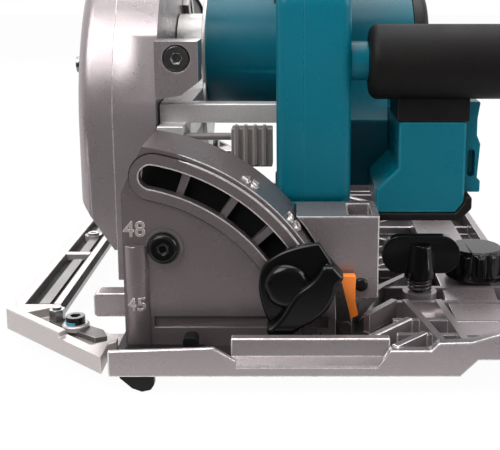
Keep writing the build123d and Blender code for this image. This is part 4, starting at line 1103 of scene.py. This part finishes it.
@dataclass
class Studio:
    """Pale floor, soft lamps and the camera at the photograph's angle."""

    camera_at: Point = (-0.0082, -0.4899, 0.1602)
    pitch: float = 10.92
    lens: float = 65.6
    shift: tuple[float, float] = (-0.1, -0.16)
    floor_z: float = -0.0078
    fill: float = 0.3
    front_dark: float = 0.12
    floor_white: float = 0.965
    mirror_near: float = 0.9
    mirror_far: float = 0.04
    mirror_span: tuple[float, float] = (-0.26, -0.17)
    room_span: tuple[float, float] = (-0.7, 0.25)
    lamps: tuple[Lamp, ...] = (
        Lamp("key_softbox", (-0.55, -0.75, 0.95), (0.0, -0.05, 0.06), 0.8, 12.5),
        Lamp("top_softbox", (0.1, 0.1, 1.2), (0.0, 0.0, 0.06), 1.0, 10.0),
        Lamp("right_strip", (0.95, -0.35, 0.5), (0.0, -0.05, 0.08), 0.6, 5.0),
        Lamp("rear_softbox", (-0.4, 0.9, 0.7), (0.0, 0.05, 0.1), 0.8, 6.0),
    )

    def build(self) -> None:
        """Make the camera, lamps, world and floor."""
        self._camera()
        self._world()
        self._floor()
        for lamp in self.lamps:
            lamp.build()
        bpy.context.scene.view_settings.view_transform = "Standard"

    def _camera(self) -> None:
        """Place the camera and set its lens."""
        data = bpy.data.cameras.new("photo_camera")
        data.lens = self.lens
        data.sensor_width = 36.0
        data.shift_x, data.shift_y = self.shift
        data.clip_start = 0.01
        camera = bpy.data.objects.new("photo_camera", data)
        camera.location = self.camera_at
        camera.rotation_euler = (math.radians(90.0 - self.pitch), 0.0, 0.0)
        bpy.context.scene.collection.objects.link(camera)
        bpy.context.scene.camera = camera

    @staticmethod
    def _seen(kit: NodeKit) -> tuple[bpy.types.NodeSocket, bpy.types.NodeSocket]:
        """Tell rays that see the background from rays that light the saw.

        Args:
            kit: Kit on the tree.

        Returns:
            Sockets that are 1 for camera and transmission rays, and for glossy rays.
        """
        path = kit.add("ShaderNodeLightPath")
        direct = kit.add("ShaderNodeMath", operation="MAXIMUM")
        kit.link(path.outputs["Is Camera Ray"], direct.inputs[0])
        kit.link(path.outputs["Is Transmission Ray"], direct.inputs[1])
        return direct.outputs["Value"], path.outputs["Is Glossy Ray"]

    def _world(self) -> None:
        """White background, also in reflections except from the dark front of the room."""
        world = bpy.data.worlds.new("studio")
        bpy.context.scene.world = world
        world.use_nodes = True
        kit = NodeKit(world.node_tree)
        world.node_tree.nodes.clear()
        direct, glossy = self._seen(kit)
        place = kit.add("ShaderNodeTexCoord")
        split = kit.add("ShaderNodeSeparateXYZ")
        room = kit.add(
            "ShaderNodeMapRange",
            From_Min=self.room_span[0],
            From_Max=self.room_span[1],
            To_Min=self.front_dark,
            To_Max=1.0,
        )
        mirror = kit.add("ShaderNodeMix", data_type="FLOAT")
        mirror.inputs[FLOAT_A].default_value = self.fill
        strength = kit.add("ShaderNodeMix", data_type="FLOAT")
        strength.inputs[FLOAT_B].default_value = 1.0
        back = kit.add("ShaderNodeBackground", Color=(1.0, 1.0, 1.0, 1.0))
        outlet = kit.add("ShaderNodeOutputWorld")
        kit.link(place.outputs["Generated"], split.inputs["Vector"])
        kit.link(split.outputs["Y"], room.inputs["Value"])
        kit.link(glossy, mirror.inputs["Factor"])
        kit.link(room.outputs["Result"], mirror.inputs[FLOAT_B])
        kit.link(direct, strength.inputs["Factor"])
        kit.link(mirror.outputs["Result"], strength.inputs[FLOAT_A])
        kit.link(strength.outputs["Result"], back.inputs["Strength"])
        kit.link(back.outputs["Background"], outlet.inputs["Surface"])

    def _floor(self) -> None:
        """Pale floor just under the hook, white to the camera except in shadow."""
        deselect()
        bpy.ops.mesh.primitive_plane_add(size=6.0, location=(0.0, 0.0, self.floor_z))
        floor = bpy.context.object
        floor.name = "studio_floor"
        settle(floor)
        material = bpy.data.materials.new("floor_paper")
        material.use_nodes = True
        kit = NodeKit(material.node_tree)
        shader = material.node_tree.nodes["Principled BSDF"]
        shader.inputs["Base Color"].default_value = (0.92, 0.92, 0.92, 1.0)
        shader.inputs["Roughness"].default_value = 0.9
        shader.inputs["Specular IOR Level"].default_value = 0.1
        glow = kit.add("ShaderNodeEmission", Color=(1.0, 1.0, 1.0, 1.0), Strength=1.0)
        direct, glossy = self._seen(kit)
        clear = kit.add("ShaderNodeMath", operation="MULTIPLY")
        clear.inputs[1].default_value = self.floor_white
        place = kit.add("ShaderNodeTexCoord")
        split = kit.add("ShaderNodeSeparateXYZ")
        sheet = kit.add(
            "ShaderNodeMapRange",
            From_Min=self.mirror_span[0],
            From_Max=self.mirror_span[1],
            To_Min=self.mirror_far,
            To_Max=self.mirror_near,
        )
        shine = kit.add("ShaderNodeMix", data_type="FLOAT")
        shine.inputs[FLOAT_A].default_value = 1.0
        share = kit.add("ShaderNodeMath", operation="MAXIMUM")
        mix = kit.add("ShaderNodeMixShader")
        outlet = material.node_tree.nodes["Material Output"]
        kit.link(direct, clear.inputs[0])
        kit.link(place.outputs["Object"], split.inputs["Vector"])
        kit.link(split.outputs["Y"], sheet.inputs["Value"])
        kit.link(glossy, shine.inputs["Factor"])
        kit.link(sheet.outputs["Result"], shine.inputs[FLOAT_B])
        kit.link(shine.outputs["Result"], glow.inputs["Strength"])
        kit.link(clear.outputs["Value"], share.inputs[0])
        kit.link(glossy, share.inputs[1])
        kit.link(share.outputs["Value"], mix.inputs["Fac"])
        kit.link(shader.outputs["BSDF"], mix.inputs[1])
        kit.link(glow.outputs["Emission"], mix.inputs[2])
        kit.link(mix.outputs["Shader"], outlet.inputs["Surface"])
        floor.data.materials.append(material)


@dataclass
class Castings:
    """Castings, mouldings and hardware that stay in their CAD shape with rounded edges."""

    rounded: dict[str, tuple[Coat, float]] = field(
        default_factory=lambda: {
            "base_plate": (Coat.CASTING, 0.7),
            # sub_base takes the lighter casting copy: painted light on its top.
            "sub_base": (Coat.PALE_CASTING, 0.6),
            # front_quadrant takes the casting darkened as painted shade.
            "front_quadrant": (Coat.DARK_CASTING, 0.5),
            "front_bracket": (Coat.CASTING, 0.7),
            "zero_stop_block": (Coat.CASTING, 0.5),
            "rear_quadrant": (Coat.CASTING, 0.6),
            "rear_bracket": (Coat.CASTING, 0.8),
            "blade_case": (Coat.CASTING, 0.7),
            "blade_cover": (Coat.CASTING, 0.3),
            "gear_housing": (Coat.GEARBOX, 0.7),
            "gear_cover": (Coat.GEARBOX, 0.5),
            "anti_tip_slide": (Coat.SATIN_BLACK, 0.4),
            "sub_base_link": (Coat.DULL_STEEL, 0.3),
            "link_bolt": (Coat.BLACK_STEEL, 0.3),
            "stop_screw": (Coat.BLACK_STEEL, 0.2),
            "lug_screw": (Coat.STEEL, 0.3),
            "case_screws": (Coat.STEEL, 0.4),
            "pointer_plate": (Coat.DARK_STEEL, 0.15),
            "minus_one_lever": (Coat.ORANGE, 0.5),
            "fence_screw_front": (Coat.GLOSS_BLACK, 0.8),
            "fence_screw_rear": (Coat.GLOSS_BLACK, 0.8),
            "rail_knob_front": (Coat.GLOSS_BLACK, 0.9),
            "rail_knob_rear": (Coat.GLOSS_BLACK, 0.9),
            "bevel_lever_front": (Coat.GLOSS_BLACK, 0.4),
            "bevel_lever_rear": (Coat.GLOSS_BLACK, 0.8),
            "depth_scale": (Coat.STEEL, 0.3),
            "depth_stop": (Coat.GLOSS_BLACK, 0.5),
            "dust_nozzle": (Coat.SATIN_BLACK, 0.6),
            "motor_housing": (Coat.SHELL, 0.8),
            "motor_cap": (Coat.SATIN_BLACK, 0.7),
            "handle_left": (Coat.SHELL, 0.5),
            "handle_right": (Coat.SHELL, 0.5),
            "grip_base": (Coat.SHELL, 1.2),
            "grip_bumper": (Coat.RUBBER, 0.8),
            "grip_neck": (Coat.RUBBER, 0.8),
            "front_grip": (Coat.RUBBER, 0.8),
            "battery_mount": (Coat.SATIN_BLACK, 0.8),
            "battery_pack": (Coat.SATIN_BLACK, 1.4),
            "battery_latch": (Coat.RED, 0.6),
            "trigger": (Coat.GLOSS_BLACK, 0.8),
            "lock_off": (Coat.GLOSS_BLACK, 0.6),
            "speed_dial": (Coat.GLOSS_BLACK, 0.5),
            "shaft_lock": (Coat.GREY_PLASTIC, 0.5),
            "outer_flange": (Coat.STEEL, 0.4),
            "blade_bolt": (Coat.STEEL, 0.4),
        }
    )
    kept: dict[str, Coat] = field(
        default_factory=lambda: {
            "fence_spring_front": Coat.DARK_STEEL,
            "fence_spring_rear": Coat.DARK_STEEL,
            "pivot_pin": Coat.STEEL,
            "bevel_bolt_front": Coat.STEEL,
            "bevel_bolt_rear": Coat.STEEL,
            "spindle_bearing": Coat.STEEL,
            "stator": Coat.LAMINATIONS,
            "rotor_bearing": Coat.STEEL,
            "rotor_shaft": Coat.STEEL,
            "rotor_core": Coat.LAMINATIONS,
            "fan": Coat.SATIN_BLACK,
            "spindle": Coat.STEEL,
            "drive_gear": Coat.STEEL,
            "inner_flange": Coat.STEEL,
            "blade": Coat.BLADE,
        }
    )
    eased: dict[str, float] = field(default_factory=lambda: {"lock_off": 0.08})
    floor_z: float = 3.5
    shade_sheet_thickness: float = 0.12
    level_gap: float = 0.05

    def build(self, shop: Workshop) -> None:
        """Round the visible solids, dress the inner ones and lay a dark sheet of painted shade on the
        floor of the base's pockets.

        Args:
            shop: The loaded frame.
        """
        for node, (coat, width) in self.rounded.items():
            piece = shop.soften(node, coat, width)
            if node in self.eased:
                apply(piece, "DISPLACE", strength=-self.eased[node] * MM, mid_level=0.0)
        for node, coat in self.kept.items():
            shop.keep(node, coat)
        # A thin near-black sheet on the pockets' floor: painted shade.
        sheet = shop.copy_node("base_plate", "pocket_shade_sheet")
        Bench.pick(sheet, self._above_or_beside)
        bpy.ops.mesh.delete(type="FACE")
        bpy.ops.object.mode_set(mode="OBJECT")
        apply(sheet, "SOLIDIFY", thickness=self.shade_sheet_thickness * MM, offset=1.0)
        shop.finish_piece(sheet, Coat.DEEP_CASTING, "base")

    def _above_or_beside(self, face: bpy.types.MeshPolygon) -> bool:
        """Tell whether a face of the base is no part of its pockets' floor.

        Args:
            face: The face.

        Returns:
            True if the face looks another way or lies at another height.
        """
        off_level = abs(face.center.z - self.floor_z * MM) > self.level_gap * MM
        return face.normal.z < Bench.ALIGNED or off_level


@dataclass
class Quadrant:
    """Raised figures, painted shade behind the slot and small hardware of the bevel quadrant, in
    millimetres.
    """

    axis: tuple[float, float] = (-85.0, -5.0)
    rim_r: float = 95.55
    rim_y: float = -116.5
    rim_stretch: float = 1.9
    slot_r: float = 83.5
    band: float = 9.65
    slot: float = 5.15
    line: float = 0.5
    groove_y: tuple[float, float] = (-127.08, -126.6)
    groove_span: tuple[float, float] = (24.0, 78.5)
    lip_y: tuple[float, float] = (-128.28, -127.6)
    lip_span: tuple[float, float] = (23.0, 79.0)
    lip_inset: float = 0.1
    stop_at: Point = (-64.7, -128.2, 46.9)
    stop_size: tuple[float, float] = (6.3, 4.6)
    stop_socket: tuple[float, float] = (2.3, 3.0)
    face_y: float = -127.0
    top_mark_at: tuple[float, float] = (-76.6, 54.5)
    column_mark_z: float = 23.0
    column_x: float = -76.0
    column_y: float = -125.5
    column_r: float = 5.2
    type_size: float = 9.4
    rim_type: float = 8.6
    column_type: float = 8.0
    type_depth: float = 0.7
    shade_pad_y: tuple[float, float] = (-117.35, -117.05)
    shade_pad_radii: tuple[float, float] = (74.0, 90.0)
    shade_pad_spans: tuple[tuple[float, float], ...] = (
        (17.0, 26.7),
        (29.3, 40.7),
        (43.3, 53.7),
        (56.3, 68.7),
        (71.3, 82.5),
    )
    rim_marks: dict[str, float] = field(default_factory=lambda: {"45": 54.0, "30": 38.9})
    rivet_at: Point = (11.3, -121.2, 9.7)
    rivet_size: tuple[float, float] = (2.6, 1.9)
    button_at: Point = (18.4, -112.0, 25.4)
    button_size: tuple[float, float] = (3.0, 3.4)

    def build(self, shop: Workshop) -> None:
        """Make the figures, the black pads of painted shade behind the slot, the rivet and the button.

        Args:
            shop: The loaded frame.
        """
        for text, angle in self.rim_marks.items():
            shop.finish_piece(self._rim_mark(text, angle), Coat.FIGURE, "base")
        x, z = self.top_mark_at
        upper = Bench.label(
            "column_top_48", "48", self.type_size, (x, self.face_y, z), RIGHT, UP, self.type_depth
        )
        shop.finish_piece(upper, Coat.FIGURE, "base")
        shop.finish_piece(self._column_mark("45", self.column_mark_z), Coat.FIGURE, "base")
        # Black pads behind the slot, between the bars: painted shade of the deep cavity there.
        shade_pads = [
            Bench.arc_bar(f"seal_{index}", self.axis, self.shade_pad_radii, self.shade_pad_y, span, 12)
            for index, span in enumerate(self.shade_pad_spans)
        ]
        slot_shade = Bench.join("slot_shade_pads", shade_pads)
        smooth(slot_shade)
        shop.finish_piece(slot_shade, Coat.SHADOW_BLACK, "carriage")
        groove = self._outline("band_groove", self.band, self.groove_y, self.groove_span)
        smooth(groove)
        shop.finish_piece(groove, Coat.SHADOW_BLACK, "base")
        # A pale strip along the slot's lower edge: painted highlight.
        lip = self._outline("slot_lip_highlight", self.slot - self.lip_inset, self.lip_y, self.lip_span)
        Bench.round_edges(lip, 0.12 * MM)
        shop.finish_piece(lip, Coat.FIGURE, "base")
        head = Bench.drum("stop_head", self.stop_at, Facing.FRONT, *self.stop_size, 48)
        socket = Vector(self.stop_at) + Vector(FRONT) * self.stop_size[1] / 2
        Bench.cut(head, Bench.drum("socket", tuple(socket), Facing.FRONT, *self.stop_socket, 6))
        Bench.round_edges(head, 1.7 * MM, 5)
        shop.finish_piece(head, Coat.GLOSS_BLACK, "base")
        rivet = Bench.drum("lever_rivet", self.rivet_at, Facing.FRONT, *self.rivet_size, 28)
        Bench.inset(rivet, FRONT, 0.7, -0.3)
        Bench.round_edges(rivet, 0.3 * MM)
        shop.finish_piece(rivet, Coat.DARK_STEEL, "minus_lever")
        button = Bench.drum("bracket_button", self.button_at, Facing.FRONT, *self.button_size, 32)
        Bench.round_edges(button, 1.4 * MM, 5)
        shop.finish_piece(button, Coat.GLOSS_BLACK, "carriage")

    def _rim_mark(self, text: str, angle: float) -> bpy.types.Object:
        """Raised figures on the curved top of the rim.

        Args:
            text: The figures.
            angle: Place on the rim in degrees.

        Returns:
            The figures.
        """
        turn = math.radians(angle)
        out = Vector((math.cos(turn), 0.0, math.sin(turn)))
        centre = Vector((self.axis[0], self.rim_y, self.axis[1])) + out * self.rim_r
        right = (out.z, 0.0, -out.x)
        mark = Bench.label(
            f"rim_mark_{text}", text, self.rim_type, tuple(centre), right, REAR, self.type_depth
        )
        activate(mark)
        bpy.ops.object.mode_set(mode="EDIT")
        bpy.ops.mesh.select_all(action="SELECT")
        bpy.ops.transform.resize(value=(1.0, self.rim_stretch, 1.0), center_override=centre * MM)
        bpy.ops.object.mode_set(mode="OBJECT")
        return mark

    def _outline(
        self, name: str, offset: float, y: tuple[float, float], span: tuple[float, float]
    ) -> bpy.types.Object:
        """Thin line round the slot: two arcs joined by a half ring at the upper end.

        Args:
            name: Name of the piece.
            offset: Distance of the line from the slot's middle.
            y: Front and back of the line.
            span: Angles at the lower and the upper end in degrees.

        Returns:
            The line as one mesh.
        """
        end = span[1]
        turn = math.radians(end)
        tip = (self.axis[0] + self.slot_r * math.cos(turn), self.axis[1] + self.slot_r * math.sin(turn))
        low, high = self.slot_r - offset, self.slot_r + offset
        lines = [
            Bench.arc_bar(name, self.axis, (low - self.line, low), y, span, 40),
            Bench.arc_bar("upper", self.axis, (high, high + self.line), y, span, 40),
            Bench.arc_bar("tip", tip, (offset, offset + self.line), y, (end, end + 180.0), 24),
        ]
        return Bench.join(name, lines)

    def _column_mark(self, text: str, z: float) -> bpy.types.Object:
        """Raised figures wrapped round the half-round column.

        Args:
            text: The figures.
            z: Height of their middle.

        Returns:
            The figures.
        """
        front = self.column_y - self.column_r
        mark = Bench.label(
            f"column_mark_{text}",
            text,
            self.column_type,
            (self.column_x, front, z),
            RIGHT,
            UP,
            self.type_depth,
        )
        radius = self.column_r * MM
        for vertex in mark.data.vertices:
            across = min(abs(vertex.co.x - self.column_x * MM), radius)
            vertex.co.y += radius - math.sqrt(radius**2 - across**2)
        return mark


@dataclass
class SideFrame:
    """Painted shade in the frame's channels, and hardware of the outer frame, in millimetres."""

    channel_x: tuple[float, float] = (-135.6, -123.4)
    channels: tuple[tuple[float, float], ...] = ((-87.6, -12.4), (-7.6, 59.6), (64.4, 137.6))
    floor_z: float = 3.0
    shade_sheet_h: float = 1.0
    bar_x: tuple[float, float] = (-130.6, -125.4)
    bar_h: float = 2.4
    nut_at: tuple[float, float] = (-117.3, -102.2)
    nut_z: float = 5.5
    nut_size: tuple[float, float] = (3.7, 5.2)
    stud_size: tuple[float, float] = (2.0, 6.2)
    bolt_at: tuple[float, float] = (-107.0, -110.5)
    lock_z: float = 6.7
    lock_size: tuple[float, float] = (4.4, 1.8)
    washer_drop: float = 0.9
    washer_size: tuple[float, float] = (6.0, 2.4)
    window_low: Point = (-141.0, -98.4, 1.6)
    window_high: Point = (-139.0, -92.0, 6.0)
    edge_low: Point = (-123.3, -88.5, 3.0)
    edge_high: Point = (-118.8, 138.0, 7.7)
    boss_at: tuple[float, float] = (-129.5, 26.0)
    boss_size: tuple[float, float] = (5.0, 4.4)
    boss_screw_z: float = 6.6

    def build(self, shop: Workshop) -> None:
        """Make the dark sheets of painted shade in the channels, the hexagon bolt, the boss screw and the
        blue thread lock.

        Args:
            shop: The loaded frame.
        """
        for index, (start, end) in enumerate(self.channels):
            # Near-black sheets in the channels: painted shade.
            shade_sheet = Bench.box(
                f"channel_shade_sheet_{index}",
                (self.channel_x[0], start, self.floor_z),
                (self.channel_x[1], end, self.floor_z + self.shade_sheet_h),
            )
            Bench.inset(shade_sheet, UP, 1.2, -0.4)
            Bench.round_edges(shade_sheet, 0.25 * MM)
            shop.finish_piece(shade_sheet, Coat.SHADOW_BLACK, "base")
            bar = Bench.box(
                f"channel_bar_{index}",
                (self.bar_x[0], start + 3.0, self.floor_z + self.shade_sheet_h - 0.5),
                (self.bar_x[1], end - 5.0, self.floor_z + self.shade_sheet_h + self.bar_h),
            )
            Bench.inset(bar, UP, 0.6, -0.4)
            Bench.round_edges(bar, 0.4 * MM)
            shop.finish_piece(bar, Coat.GREY_PLASTIC, "base")
        nut = self._upright("link_nut", (*self.nut_at, self.nut_z), self.nut_size, 6)
        stud = self._upright("stud", (*self.nut_at, self.nut_z), self.stud_size, 24)
        hexagon = Bench.join("link_nut", [nut, stud])
        Bench.round_edges(hexagon, 0.4 * MM)
        shop.finish_piece(hexagon, Coat.STEEL, "base")
        lock = self._upright("thread_lock", (*self.bolt_at, self.lock_z), self.lock_size, 28)
        Bench.inset(lock, UP, 0.9, 0.25)
        Bench.halve(lock, (self.bolt_at[0] - 0.6, self.bolt_at[1], self.lock_z), (1, 0.35, 0))
        Bench.round_edges(lock, 0.2 * MM)
        shop.finish_piece(lock, Coat.THREADLOCK, "base")
        middle = (*self.bolt_at, self.lock_z - self.washer_drop)
        washer = Bench.drum("bolt_washer", middle, Facing.UP, *self.washer_size, 40)
        Bench.inset(washer, UP, 1.3, 0.4)
        Bench.round_edges(washer, 0.8 * MM, 3)
        # The washer takes the lighter casting copy: painted light.
        shop.finish_piece(washer, Coat.PALE_CASTING, "base")
        window = Bench.box("frame_window", self.window_low, self.window_high)
        Bench.inset(window, LEFT, 0.8, -0.4)
        Bench.round_edges(window, 0.3 * MM)
        shop.finish_piece(window, Coat.DARK_STEEL, "base")
        # Near-black strip over the inner rail: painted shade.
        edge = Bench.box("channel_edge", self.edge_low, self.edge_high)
        Bench.inset(edge, UP, 0.8, -0.3)
        Bench.round_edges(edge, 0.4 * MM)
        shop.finish_piece(edge, Coat.SHADOW_BLACK, "base")
        boss = self._upright("frame_boss", (*self.boss_at, self.floor_z), self.boss_size, 36)
        Bench.inset(boss, UP, 1.4, -0.8)
        Bench.round_edges(boss, 0.4 * MM)
        # The boss takes the lighter casting copy: painted light.
        shop.finish_piece(boss, Coat.PALE_CASTING, "base")
        screw = Bench.socket_screw(
            "frame_boss_screw", (*self.boss_at, self.boss_screw_z), Facing.UP, UP, 3.3, 2.0, 1.5
        )
        shop.finish_piece(screw, Coat.STEEL, "base")

    @staticmethod
    def _upright(name: str, foot: Point, size: tuple[float, float], sides: int) -> bpy.types.Object:
        """Stand a round or many-sided bar on its foot.

        Args:
            name: Name of the piece.
            foot: Middle of its lower end.
            size: Its radius and height.
            sides: Facets around it.

        Returns:
            The bar.
        """
        radius, height = size
        return Bench.drum(name, (foot[0], foot[1], foot[2] + height / 2), Facing.UP, radius, height, sides)


@dataclass
class Head:
    """Soft pads, screws and battery details, laid out in the tilted frame of the head in millimetres."""

    tilt: float = 36.04
    origin: tuple[float, float] = (-70.0, 40.0)
    pad_u: tuple[float, float] = (160.0, 206.0)
    pad_v: float = 90.0
    pad_rise: float = 0.45
    left_face: float = -19.0
    screws: tuple[tuple[float, float], ...] = (
        (62.0, 88.0),
        (92.0, 108.0),
        (228.0, 84.0),
        (20.0, 12.0),
        (150.0, 58.0),
    )
    screw_r: float = 3.0
    screw_rise: float = 0.4
    pack_x: tuple[float, float] = (-36.0, 40.0)
    pack_rear: float = 262.0
    rib_u: tuple[float, ...] = (184.0, 192.0, 200.0, 208.0, 216.0)
    rib_v: tuple[float, float] = (-4.0, 22.0)
    rib_half: tuple[float, float] = (0.7, 1.6)
    panel_low: tuple[float, float] = (-14.0, 6.0)
    panel_high: tuple[float, float] = (18.0, 16.0)
    lamp_x: tuple[float, ...] = (-8.0, -2.0, 4.0, 10.0)
    lamp_v: float = 11.0
    lamp_size: tuple[float, float] = (1.3, 0.8)

    def build(self, shop: Workshop) -> None:
        """Make the pads, the case screws, the battery ribs and the charge lamps.

        Args:
            shop: The loaded frame.
        """
        for node in ("handle_left", "handle_right"):
            pad = shop.copy_node(node, f"{node}_pad")
            Bench.halve(pad, self.place(0.0, 0.0, self.pad_v), self.turn(0.0, -1.0))
            Bench.halve(pad, self.place(0.0, self.pad_u[0], 0.0), self.turn(-1.0, 0.0))
            Bench.halve(pad, self.place(0.0, self.pad_u[1], 0.0), self.turn(1.0, 0.0))
            apply(pad, "DISPLACE", strength=self.pad_rise * MM, mid_level=0.0)
            Bench.round_edges(pad, 0.3 * MM)
            shop.finish_piece(pad, Coat.RUBBER, "head")
        seats = [Vector(self.place(self.left_face + self.screw_rise, u, v)) for u, v in self.screws]
        screw = Bench.socket_screw(
            "shell_screws", tuple(seats[0]), Facing.SIDE, LEFT, self.screw_r, 1.4, 1.3
        )
        moves = [Matrix.Translation((seat - seats[0]) * MM) for seat in seats[1:]]
        screws = [screw, *(Bench.copy(screw, "screw", move) for move in moves)]
        shop.finish_piece(Bench.join("shell_screws", screws), Coat.BLACK_STEEL, "head")
        self._battery(shop)

    def place(self, x: float, u: float, v: float) -> Point:
        """Turn a place in the tilted frame into a place in the saw.

        Args:
            x: Across the saw.
            u: Along the head.
            v: Up from the head's pivot line.

        Returns:
            The place in millimetres.
        """
        across = self.turn(u, v)
        return (x, self.origin[0] + across[1], self.origin[1] + across[2])

    def turn(self, u: float, v: float) -> Point:
        """Turn a direction in the tilted frame into one in the saw.

        Args:
            u: Share along the head.
            v: Share up from it.

        Returns:
            The direction.
        """
        lean = math.radians(self.tilt)
        return (0.0, u * math.cos(lean) - v * math.sin(lean), u * math.sin(lean) + v * math.cos(lean))

    def _lean(self, obj: bpy.types.Object) -> None:
        """Lean a piece that was made level.

        Args:
            obj: The piece, made with u along Y and v along Z.
        """
        move = Matrix.Translation(Vector((0.0, self.origin[0], self.origin[1])) * MM)
        obj.matrix_world = move @ Matrix.Rotation(math.radians(self.tilt), 4, "X")
        settle(obj)

    def _battery(self, shop: Workshop) -> None:
        """Ribs on both sides of the battery pack, and its charge lamps.

        Args:
            shop: The loaded frame.
        """
        for side, face in zip(("left", "right"), self.pack_x):
            first = self.rib_u[0]
            proud, half = self.rib_half
            rib = Bench.box(
                "rib",
                (face - proud, first - half, self.rib_v[0]),
                (face + proud, first + half, self.rib_v[1]),
            )
            Bench.inset(rib, LEFT if side == "left" else RIGHT, 0.5, 0.3)
            Bench.round_edges(rib, 0.3 * MM)
            moves = [Matrix.Translation((0.0, (u - first) * MM, 0.0)) for u in self.rib_u[1:]]
            ribs = [rib, *(Bench.copy(rib, "rib", move) for move in moves)]
            row = Bench.join(f"battery_ribs_{side}", ribs)
            self._lean(row)
            shop.finish_piece(row, Coat.SATIN_BLACK, "battery")
        panel = Bench.box(
            "charge_panel",
            (self.panel_low[0], self.pack_rear - 0.6, self.panel_low[1]),
            (self.panel_high[0], self.pack_rear + 0.3, self.panel_high[1]),
        )
        Bench.inset(panel, REAR, 1.2, -0.25)
        Bench.round_edges(panel, 0.2 * MM)
        self._lean(panel)
        shop.finish_piece(panel, Coat.GREY_PLASTIC, "battery")
        middle = (self.lamp_x[0], self.pack_rear + 0.1, self.lamp_v)
        lamp = Bench.drum("lamp", middle, Facing.FRONT, *self.lamp_size, 20)
        Bench.inset(lamp, REAR, 0.4, 0.15)
        Bench.round_edges(lamp, 0.15 * MM)
        moves = [Matrix.Translation(((x - self.lamp_x[0]) * MM, 0.0, 0.0)) for x in self.lamp_x[1:]]
        row = Bench.join("charge_lamps", [lamp, *(Bench.copy(lamp, "lamp", move) for move in moves)])
        self._lean(row)
        shop.finish_piece(row, Coat.RED, "battery")


@dataclass
class WingScrews:
    """Moulded wings of the two fence screws in millimetres."""

    places: dict[str, tuple[float, float]] = field(
        default_factory=lambda: {"fence_front": (48.0, -82.0), "fence_rear": (62.0, 118.0)}
    )
    length: float = 36.0
    height: float = 18.0
    thick: float = 5.5
    z: float = 30.0
    corner: float = 8.2
    border: float = 1.6
    sink: float = -0.35

    def build(self, shop: Workshop) -> None:
        """Make one wing with long rounded corners and a sunk panel, and copy it to the other screw.

        Args:
            shop: The loaded frame.
        """
        (first_body, first), (second_body, second) = self.places.items()
        half = Vector((self.length, self.thick, self.height)) / 2
        centre = Vector((*first, self.z))
        wing = Bench.box(f"{first_body}_wing", tuple(centre - half), tuple(centre + half))
        Bench.round_corners(wing, REAR, self.corner)
        Bench.inset(wing, FRONT, self.border, self.sink)
        Bench.inset(wing, REAR, self.border, self.sink)
        Bench.round_edges(wing, 0.5 * MM, 3)
        move = Vector((*second, 0.0)) - Vector((*first, 0.0))
        twin = Bench.copy(wing, f"{second_body}_wing", Matrix.Translation(move * MM))
        shop.finish_piece(wing, Coat.GLOSS_BLACK, first_body)
        shop.finish_piece(twin, Coat.GLOSS_BLACK, second_body)


@dataclass
class SawBlade:
    """Carbide tips of the blade in millimetres."""

    x: float = -88.0
    hub: tuple[float, float] = (15.0, 87.0)
    radius: float = 82.4
    teeth: int = 24
    width: float = 2.2
    height: float = 3.6
    thick: float = 1.7
    inside: float = 0.25
    relief: float = 0.3

    def build(self, shop: Workshop) -> None:
        """Model one tip and copy it round the blade.

        Args:
            shop: The loaded frame.
        """
        y, z = self.hub
        point = y + self.radius - self.inside
        first = Bench.box(
            "tip",
            (self.x - self.width / 2, y + self.radius - self.height, z - self.thick),
            (self.x + self.width / 2, point, z),
        )
        Bench.halve(first, (self.x, point, z), (0.0, 1.0, -self.relief))
        Bench.round_edges(first, 0.15 * MM)
        tips = [first]
        centre = Vector((0.0, self.hub[0], self.hub[1])) * MM
        for index in range(1, self.teeth):
            spin = Matrix.Rotation(math.tau * index / self.teeth, 4, "X")
            place = Matrix.Translation(centre) @ spin @ Matrix.Translation(-centre)
            tips.append(Bench.copy(first, "tip", place))
        shop.finish_piece(Bench.join("blade_tips", tips), Coat.CARBIDE, "spindle")


def main() -> None:
    """Build the saw's looks in order."""
    logging.basicConfig(level=logging.INFO)
    shop = Workshop()
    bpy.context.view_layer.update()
    Studio().build()
    Castings().build(shop)
    Quadrant().build(shop)
    SideFrame().build(shop)
    WingScrews().build(shop)
    Head().build(shop)
    SawBlade().build(shop)
    deselect()


if __name__ == "__main__":
    main()
